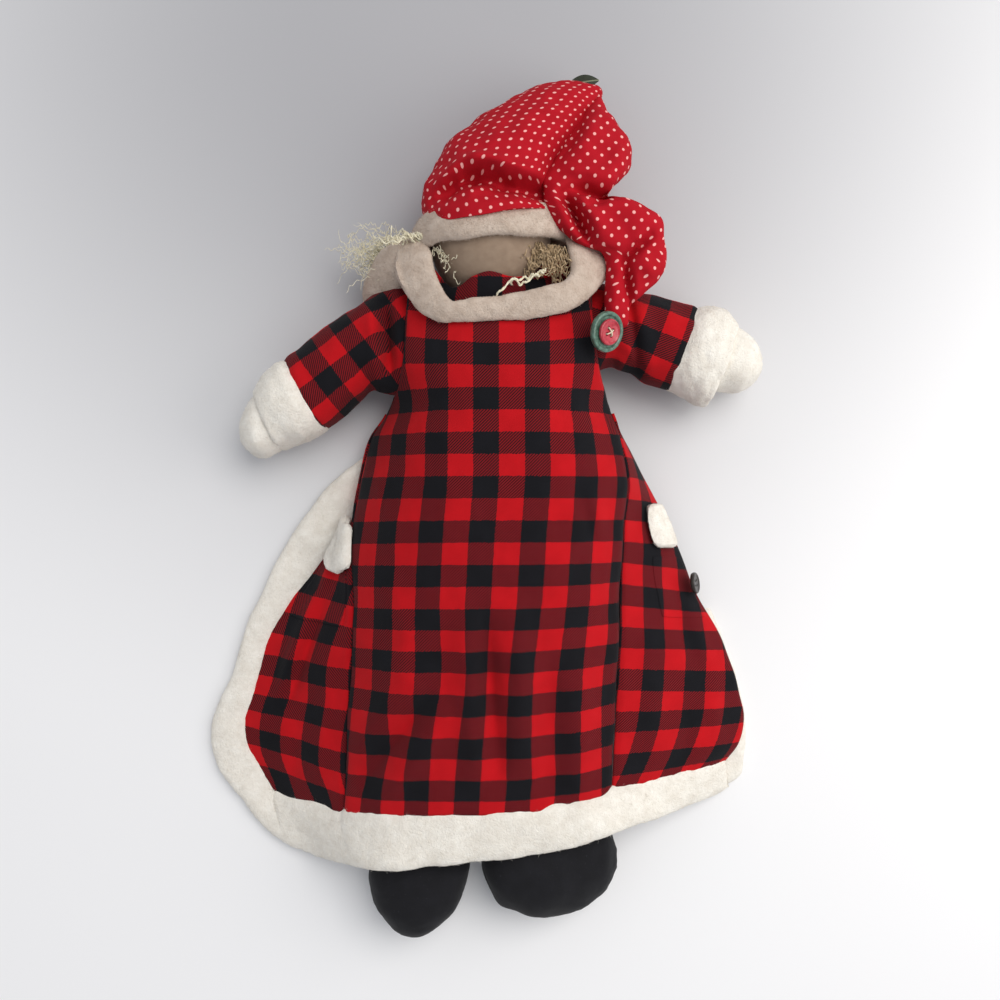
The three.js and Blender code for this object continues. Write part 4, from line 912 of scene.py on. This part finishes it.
def button(name, profile, holes, hole_radius, seat, body, material):
    """A moulded button: a profile of radius and height spun round its axis, drilled for the thread."""
    blank = bpy.data.meshes.new(name)
    line = [(radius * MM, 0, height * MM) for radius, height in profile]
    blank.from_pydata(line, [(i, i + 1) for i in range(len(line) - 1)], [])
    piece = bpy.data.objects.new(name, blank)
    bpy.context.scene.collection.objects.link(piece)
    select(piece)
    bpy.ops.object.mode_set(mode="EDIT")
    bpy.ops.mesh.select_all(action="SELECT")
    bpy.ops.mesh.spin(steps=72, angle=2 * math.pi, center=(0, 0, 0), axis=(0, 0, 1))
    bpy.ops.mesh.select_all(action="SELECT")
    bpy.ops.mesh.remove_doubles(threshold=1e-6)
    bpy.ops.mesh.normals_make_consistent(inside=False)
    bpy.ops.object.mode_set(mode="OBJECT")
    for x, y in holes:
        bpy.ops.object.select_all(action="DESELECT")
        bpy.ops.mesh.primitive_cylinder_add(vertices=20, radius=hole_radius * MM, depth=20 * MM,
                                            location=(x * MM, y * MM, 0))
        drill = bpy.context.object
        modified(piece, "BOOLEAN", operation="DIFFERENCE", object=drill, solver="EXACT")
        bpy.data.objects.remove(drill)
    piece.data.transform(seat)
    select(piece)
    bpy.ops.object.shade_smooth_by_angle(angle=math.radians(40))
    piece.data.materials.clear()
    piece.data.materials.append(material)
    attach(piece, body)
    return piece


def rounded(radius, low, high, rim, dish):
    """Half section of a rimmed button, from its middle underneath round to its middle on top."""
    inside = radius - rim
    return [(0, low), (radius - 1.0, low), (radius - 0.3, low + 0.25), (radius, low + 0.8),
            (radius, high - 0.8), (radius - 0.25, high - 0.25), (radius - 0.8, high), (inside + 0.5, high),
            (inside, high - 0.4), (inside - 0.4, high - dish), (0, high - dish)]


HOLES = [(-1.27, -1.27), (1.27, -1.27), (1.27, 1.27), (-1.27, 1.27)]  # of the pocket button, mm
brown_resin = resin("dark_brown_resin", "#15100D", "#2C221C", 0.35)
low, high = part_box("pocket_button")
button_middle = (low + high) / 2
button_facing = Vector((0.9, 0.12, 0.42)).normalized()
pocket_seat = Matrix.Translation(button_middle) @ button_facing.to_track_quat("Z", "Y").to_matrix().to_4x4()
pocket_button = button("pocket_button_disc", rounded(5.6, -1.2, 1.2, 1.6, 0.5), HOLES, 0.7, pocket_seat,
                       "torso", brown_resin)
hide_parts("pocket_button")

# Hat: a dotted cotton cap with a fleece brim; its long point is folded over to the right and hangs down.
# The fold is soft, so the tail bends from the crown where it lies over it.
DOT_PITCH = 5.25  # dot to dot along the lattice, mm
DOT_RADIUS = 0.8  # mm
DOT_EDGE = 0.12  # how far its ink fades, mm

# Printed quilting cotton: a smooth plain weave, red, with small pale dots on a slanting lattice.
dotted = finish("printed_quilting_cotton", "#BE1A26", Roughness=0.85, Specular_IOR_Level=0.2)
dot_uv = cloth_spot(dotted)
lattice = node(dotted, "Mapping", {}, {"Vector": dot_uv, "Rotation": (0, 0, math.radians(45)),
                                       "Scale": (1 / DOT_PITCH, 1 / DOT_PITCH, 1)})[0]
cell = vector_maths(dotted, "FRACTION", lattice)
cell = vector_maths(dotted, "SUBTRACT", cell, (0.5, 0.5, 0))
cell = vector_maths(dotted, "MULTIPLY", cell, (DOT_PITCH, DOT_PITCH, 0))
reach = vector_maths(dotted, "LENGTH", cell)
inked = ranged(dotted, reach, DOT_RADIUS + DOT_EDGE, DOT_RADIUS - DOT_EDGE)
ground = tint(dotted, noise(dotted, dot_uv, 9, 3.0), "#A00817", "#BD1023")
printed = tint(dotted, inked, ground, "#F3AFAA")
feed(dotted, Base_Color=printed, Normal=embossed(dotted, 0.25, 0.15, noise(dotted, dot_uv, 0.5)))

BRIM_SECTION = [
    (29.4, 129.4), (31, 127.4), (33.4, 127), (35.3, 128.6), (36, 131.6), (35.6, 135.4), (34.4, 139.4),
    (32.8, 143), (31, 144), (29.4, 141), (29.2, 135), (29.4, 129.4),
]
BRIM_SPREAD = np.array([1.14, 1.0, 1.0])  # the doll's weight flattens it a little
BRIM_MIDDLE = np.array([-3.4, 0, 0])
brim_net = curve_through([[i / 11, *point] for i, point in enumerate(BRIM_SECTION)])(np.linspace(0, 1, 45))
brim_net = turned(brim_net, 140, (0, 0, HEAD[2])) * BRIM_SPREAD + BRIM_MIDDLE
tilt = math.radians(3.5)  # the brim sits a little crooked, higher on the right
brim_net[..., :2] -= HEAD[:2]
crooked = np.array([[math.cos(tilt), math.sin(tilt)], [-math.sin(tilt), math.cos(tilt)]])
brim_net[..., :2] = brim_net[..., :2] @ crooked
brim_net[..., :2] += HEAD[:2]
brim_net = matted(brim_net, 17, 0.5, 91)
brim_net[-1] = brim_net[0]
brim_net[..., 2] = np.maximum(brim_net[..., 2], 0.4)
# The brim's fleece carries the same painted shade and painted red reflection from the hat.
brim = sewn("hat_brim_fleece", brim_net, "head", shaded_fleece)
fuzzy(brim, 1.3, 1.4, 93)
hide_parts("hat_brim")

CROWN = [  # from the brim to the fold: left edge, right edge in plan, low and high point
    [0, -37.5, 139.4, 28.5, 139.4, 2.5, 69.5], [0.05, -38.6, 142.5, 28.6, 142, 1, 71.5],
    [0.12, -39.9, 149, 27, 147, 0.6, 71.5], [0.2, -39.3, 155.5, 25, 153, 0.6, 70.5],
    [0.28, -35.5, 163, 28, 160, 1, 70], [0.36, -31.5, 171.5, 31, 167, 2, 68],
    [0.44, -27.6, 179, 34.5, 174, 3.5, 65], [0.52, -19.3, 186.1, 38.5, 181, 5, 61],
    [0.6, -10, 194.2, 43, 188.5, 7, 56], [0.69, 0, 200.8, 46.5, 195, 9, 51],
    [0.77, 10, 207.2, 49.5, 201, 11.5, 46], [0.85, 20.3, 211.7, 51.5, 205.5, 14, 41],
    [0.92, 30.4, 213.8, 52.5, 209, 17, 37], [0.97, 40, 214.3, 52, 211, 20, 32],
    [1, 47, 213, 51, 212, 24, 27],
]
CROWN_FOLDS = [  # from x y to x y, half width, height
    [-31, 146.5, -18, 155.5, 4.8, -12.0], [-20, 155.5, -7, 156.5, 4.8, -12.5],
    [-10, 156.5, 7, 151.5, 4.6, -12.0], [4, 152.5, 23, 149.5, 4.2, -11.0], [-30, 154, -18, 163, 3.4, 4.2],
    [-20, 163, -7, 164.5, 3.4, 4.6], [-10, 164.5, 8, 160, 3.2, 4.6], [5, 160, 22, 157.5, 3.2, 4.0],
    [-24, 144, 12, 149, 4.0, -2.4], [-34, 150, -30, 164, 3.0, -1.8], [2, 172, 24, 196, 6.0, 1.6],
    [-14, 176, 8, 198, 6.0, -1.2], [-30, 143, -26, 152, 2.2, 1.6], [-16, 142, -12, 150, 2.2, 1.3],
    [8, 143, 10, 151, 2.4, 1.4], [22, 160, 38, 186, 3.0, -2.4],
]
crown_net = stuffed(CROWN, 130, 128, 0.96)
droop = np.exp(-np.arange(130) / 9)[:, None] * np.clip((crown_net[..., 2] - 40) / 20, 0, 1)
CROWN_DROOP = [(-36, 0), (-30, 2.5), (-24, 4.5), (-9, 3.4), (0, 1.6), (9, 0), (22, -2.5)]  # across x, mm
crown_net[..., 1] -= droop * np.interp(crown_net[..., 0], *zip(*CROWN_DROOP))
crown_net[..., 2] += 4.0 * droop
crown_cut = lidded(crown_net)
crown_net = puckered(folded(crown_net, CROWN_FOLDS), 13, 0.45, 94)
crown_net = lidded(puckered(crown_net, 5, 0.12, 95))
crown = sewn("hat_crown_cap", crown_net, "head", dotted,
             laid_flat(crown_net, axis=((-5, 150), (0.6, 0.8)), cut=crown_cut, turn=-33))
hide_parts("hat_crown")

TAIL = [  # from the fold to the button: left edge, right edge in plan, low and high point
    [0, 49.5, 207, 51.5, 206.5, 25, 33], [0.05, 43, 197.5, 55.5, 196, 23, 43],
    [0.1, 37.5, 189, 60.5, 187.8, 23, 49.5], [0.15, 32.5, 180.5, 65.4, 179.4, 25, 54.5],
    [0.2, 28, 172.5, 65.9, 172.4, 29, 58], [0.25, 23.6, 164.5, 63.9, 163.5, 34, 60.5],
    [0.3, 20.6, 159.4, 59.5, 158, 40, 61.5], [0.345, 21.6, 154.4, 55, 153.4, 45, 62],
    [0.39, 21.2, 149, 53.2, 149, 47, 63], [0.43, 21.8, 144.4, 60.5, 148.2, 48, 64],
    [0.47, 23, 140.4, 69, 144.4, 48.5, 65], [0.51, 25.6, 136, 76.5, 139.9, 48.5, 65.5],
    [0.555, 30, 131.4, 80.2, 135.4, 48, 65.5], [0.6, 36, 127.4, 80, 129.4, 47.6, 65],
    [0.645, 43.5, 124.4, 81.4, 123, 47.2, 64], [0.69, 49.6, 122, 81.6, 117, 47, 62.5],
    [0.74, 52, 116.6, 79.6, 111, 46.8, 61], [0.79, 51.8, 111, 75.6, 105.4, 46.6, 59.5],
    [0.84, 51.4, 104.6, 69.6, 100.4, 46.6, 58], [0.89, 51.2, 98, 64.6, 97, 47, 56.4],
    [0.94, 51.4, 92, 63.5, 91, 47.4, 55], [0.98, 52, 87, 62.5, 86, 48, 53.6],
    [1, 56, 85, 59, 84.6, 49.5, 52],
]
TAIL_FOLDS = [  # from x y to x y, half width, height
    [31, 150, 44, 126, 2.8, -12.5], [37, 148, 50, 128, 3.6, 3.2], [25, 148, 36, 128, 3.6, 2.6],
    [56, 149, 34, 152, 2.8, -11.0], [60, 156, 38, 160, 4.0, 2.2], [53, 149, 44, 142, 2.4, -4.0],
    [58, 146, 74, 136, 5.0, 1.6], [44, 196, 30, 166, 2.6, -2.4], [48, 192, 38, 164, 4.0, 2.2],
    [58, 184, 50, 160, 4.5, -1.6], [62, 172, 46, 156, 4.0, 1.4], [73, 128.5, 61, 116.5, 2.2, -7.0],
    [61.5, 117.5, 64, 97, 2.2, -7.5], [66, 124, 76, 108, 4.0, 1.8], [60, 132, 66, 116, 4.0, -1.6],
    [56, 112, 56, 92, 2.6, 1.0], [24, 158, 50, 155, 3.0, -2.0], [60, 108, 62, 92, 2.0, -0.9],
]
tail_net = puckered(folded(stuffed(TAIL, 170, 80, 0.9), TAIL_FOLDS), 10, 0.4, 96)
tail_net = lidded(puckered(tail_net, 4.5, 0.12, 97))
tail = sewn("hat_tail_cloth", tail_net, None, dotted,
            laid_flat(tail_net, axis=((50, 150), (0, -1))))
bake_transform(tail)
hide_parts("hat_tail")

# Buttons on the tail: a large green one with a smaller red one stacked on it, sewn with cream thread.
# They are moulded resin, and hang on the thread against the end of the tail.
stack = Matrix.Translation(Vector(place([52, 82, 60.2]))) @ Matrix.Rotation(math.radians(-18), 4, "Z")
stack = stack @ Matrix.Rotation(math.radians(40), 4, "Y")
green_resin = resin("green_resin", "#3B5549", "#5B7F6F", 0.28)
red_resin = resin("red_resin", "#A82434", "#C03A49", 0.3)
TAIL_HOLES = [(1.18 * x, 1.18 * y) for x, y in HOLES]
big = button("tail_button_ring", rounded(10, -1.5, 1.5, 2.0, 0.9), TAIL_HOLES, 0.9, stack, "tail_button",
             green_resin)
small = button("tail_button_middle", rounded(6.5, 0.9, 3.0, 1.2, 0.6), TAIL_HOLES, 0.9, stack,
               "tail_button", red_resin)
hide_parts("tail_button_rim")
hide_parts("tail_button_centre")


def strand(points, radius, sides=6):
    """Net of a round strand along points, mm."""
    points = np.asarray(points, float)
    way = np.gradient(points, axis=0)
    way /= np.linalg.norm(way, axis=1, keepdims=True)
    side = np.cross(way, np.array([0.31, 0.17, 0.93]))
    side /= np.linalg.norm(side, axis=1, keepdims=True)
    other = np.cross(way, side)
    angle = np.linspace(0, 2 * math.pi, sides + 1)
    ring = np.cos(angle)[:, None] * side[:, None] + np.sin(angle)[:, None] * other[:, None]
    return points[:, None] + np.broadcast_to(radius, len(points))[:, None, None] * ring


# Cotton sewing thread: two plies, cream, dull.
cream = finish("cream_cotton_thread", "#EADFC4", Roughness=0.85, Sheen_Weight=0.1)
feed(cream, Base_Color=tint(cream, noise(cream, own_spot(cream), 0.5 * MM), "#CDBF9E", "#F3EBD6"))
stitches = []
for turn in range(4):
    x, y = TAIL_HOLES[turn]
    x2, y2 = TAIL_HOLES[(turn + 2) % 4]
    rise = 2.6 + 0.2 * turn
    arch = np.array([[x, y, -1.4], [x, y, 2.2], [0.7 * x, 0.7 * y, rise], [0, 0, rise + 0.35],
                     [0.7 * x2, 0.7 * y2, rise], [x2, y2, 2.2], [x2, y2, -1.4]])
    arch[:, :2] += 0.18 * np.array([math.cos(turn * 1.9), math.sin(turn * 1.9)])
    path = curve_through(np.column_stack([np.linspace(0, 1, 7), arch]))(np.linspace(0, 1, 30))
    path = np.array([stack @ Vector(point * MM) for point in path]) / MM - SPINE
    stitches.append(sewn(f"stitch_{turn}", lidded(strand(path, 0.3, 8)), None, cream))
thread = joined(stitches, "tail_button_stitch")
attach(thread, "tail_button")
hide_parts("tail_button_thread")

# Sprig: a few cloth leaves on a wired stem at the front of the hat, whose tips show past its top edge.
# They are cut from stiffened cotton, dark green with a paler rib.
leaf_green = finish("stiffened_green_cotton", "#3C4434", Roughness=0.75)
leaf_uv = cloth_spot(leaf_green)
leaf_across = node(leaf_green, "SeparateXYZ", {}, {0: leaf_uv})[0]
rib_line = maths(leaf_green, "LESS_THAN", maths(leaf_green, "ABSOLUTE", leaf_across), 0.35)
leaf_tone = tint(leaf_green, noise(leaf_green, leaf_uv, 2, 3.0), "#1E241B", "#3A4433")
feed(leaf_green, Base_Color=tint(leaf_green, rib_line, leaf_tone, "#7C8468"))
leaves = []
LEAVES = [  # foot, tip, half width, rise in the middle
    ((20, 186, 6), (22, 208, 22), 3.4, 3.0), ((2, 203, 20), (25, 215, 24), 2.4, 1.0),
    ((18, 210, 20), (38, 216.2, 25), 2.0, 1.0), ((35, 215, 22), (51, 216.6, 25), 3.6, 1.0),
]
for number, (foot, tip, half, bend) in enumerate(LEAVES):
    foot, tip = np.array(foot, float), np.array(tip, float)
    share = np.linspace(0, 1, 19)
    middle = foot + (tip - foot) * share[:, None]
    middle[:, 2] += bend * np.sin(math.pi * share)
    level = np.array([tip[1] - foot[1], foot[0] - tip[0], 0])
    level = level / math.hypot(level[0], level[1])
    half_width = half * np.sin(math.pi * np.clip(share, 0.03, 0.985)) ** 0.8
    across = np.linspace(-1, 1, 9)
    leaf = middle[:, None] + (half_width[:, None] * across)[..., None] * level
    leaf[..., 2] += 0.5 * np.abs(across)[None] * half_width[:, None] / half
    leaves.append(sewn(f"leaf_{number}", leaf, None, leaf_green))
    modified(leaves[-1], "SOLIDIFY", thickness=0.6 * MM, offset=0)
sprig = joined(leaves, "hat_sprig_leaves")
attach(sprig, "head")
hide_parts("hat_sprig")

# Hair and beard: loose two-ply curly yarn, sewn to the head in tufts that spill out beside the brim.
# The beard and the moustache lie under the face, between the doll and the table.


# Boucle wool yarn: hairy, darker in random patches, cream; the tuft at the right under the hat is tanner,
# partly its own colour and partly painted shade from the hat.
def boucle(name, dark, pale):
    """A curly yarn of the two colours given."""
    wool = finish(name, pale, Roughness=0.95, Sheen_Weight=0.3)
    spot = own_spot(wool)
    tone = tint(wool, noise(wool, spot, 3 * MM, 4.0), dark, pale)
    hairs = noise(wool, spot, 0.4 * MM)
    feed(wool, Base_Color=tone, Normal=embossed(wool, 0.6, 0.3, hairs))
    return wool


cream_wool = boucle("cream_boucle_yarn", "#DED3AE", "#FAF5E2")
# Painted shade: the right tuft's yarn is darker and tanner, partly for the shade under the hat's tail.
shaded_tan_wool = boucle("tan_boucle_yarn_painted_shade", "#8F714C", "#DCC49E")


def curly(name, roots, reach, spread, count, curl, ply, seed, floor=0.6, wool=cream_wool):
    """A tuft: strands from between two roots towards a reach, each twisted of two plies and curled."""
    draw = np.random.default_rng(seed)
    strands = []
    for i in range(count):
        root = np.array(roots[0]) + (np.array(roots[1]) - np.array(roots[0])) * draw.uniform()
        end = root + np.array(reach) * draw.uniform(0.6, 1.1) + draw.normal(size=3) * np.array(spread)
        length = np.linalg.norm(end - root)
        count_points = max(24, int(length * 2.6))
        t = np.linspace(0, 1, count_points)
        line = root + (end - root) * t[:, None]
        for wave, size in ((1.0, 0.14), (2.3, 0.07)):
            line += np.sin(t[:, None] * wave * TURN + draw.uniform(0, TURN, 3)) * size * length * t[:, None]
        phase = draw.uniform(0, TURN)
        coil = t * length / curl[1] * TURN + phase
        line[:, 1] += curl[0] * np.sin(coil)
        line[:, 2] += curl[0] * np.cos(coil)
        line[:, 2] = np.maximum(line[:, 2], floor)
        for ply_turn in (0, math.pi):
            twist = t * length / 2.4 * TURN + ply_turn
            side = np.stack([0.5 * ply * np.sin(twist), ply * np.cos(twist), ply * np.sin(twist)], axis=-1)
            radius = ply * (0.85 + 0.3 * np.abs(np.sin(t * length * 1.1 + phase)))
            radius = radius * np.clip(12 * (1 - t) + 0.25, 0, 1)
            net = lidded(strand(line + side, radius, 5))
            strands.append(sewn(f"{name}_{i}_{ply_turn:.0f}", net, None, wool))
    return joined(strands, name)


left_hair = curly("hair_left_tuft", ([-38, 131, 44], [-50, 126, 36]), (-27, -5, -16), (8, 6, 3), 120,
                  (0.7, 2.4), 0.1, 101)
left_lock = curly("hair_left_lock", ([-31, 128, 56], [-35, 129.5, 55]), (-25, 2.2, -7), (3, 1.2, 1), 9,
                  (0.8, 3.0), 0.24, 106)
inner_lock = curly("hair_inner_lock", ([-33, 124, 53], [-30, 122, 54]), (10, -8, 3), (4, 4, 2), 12,
                   (0.7, 2.4), 0.12, 107)
left_hair = joined([left_hair, left_lock, inner_lock], "hair_left_tuft")
right_hair = curly("hair_right_tuft", ([14, 127, 55], [31, 124, 52]), (1, -13, 5), (4.5, 4.5, 1.6), 84,
                   (1.2, 3.6), 0.18, 102, 51, shaded_tan_wool)
loose = curly("hair_loose_strand", ([22, 112, 62], [22.5, 111.6, 62]), (-25, -13, 1.5), (0.2, 0.2, 0.2), 2,
              (0.8, 4.4), 0.36, 103, 61)
right_hair = joined([right_hair, loose], "hair_right_tuft")
beard = curly("beard_tuft", ([-28, 106, 12], [19, 106, 12]), (0, -24, -8), (3, 4, 2), 34,
              (1.2, 4.2), 0.34, 104, 1.0)
moustache = curly("moustache_tuft", ([-6, 109, 9], [-3, 110, 9]), (0, -2, -2), (10, 1.5, 2), 12,
                  (0.9, 4.0), 0.34, 105, 1.0)
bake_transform(left_hair)
for tuft in (right_hair, beard, moustache):
    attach(tuft, "head")
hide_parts("hair_left")
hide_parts("hair_right")
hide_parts("beard")
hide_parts("moustache")
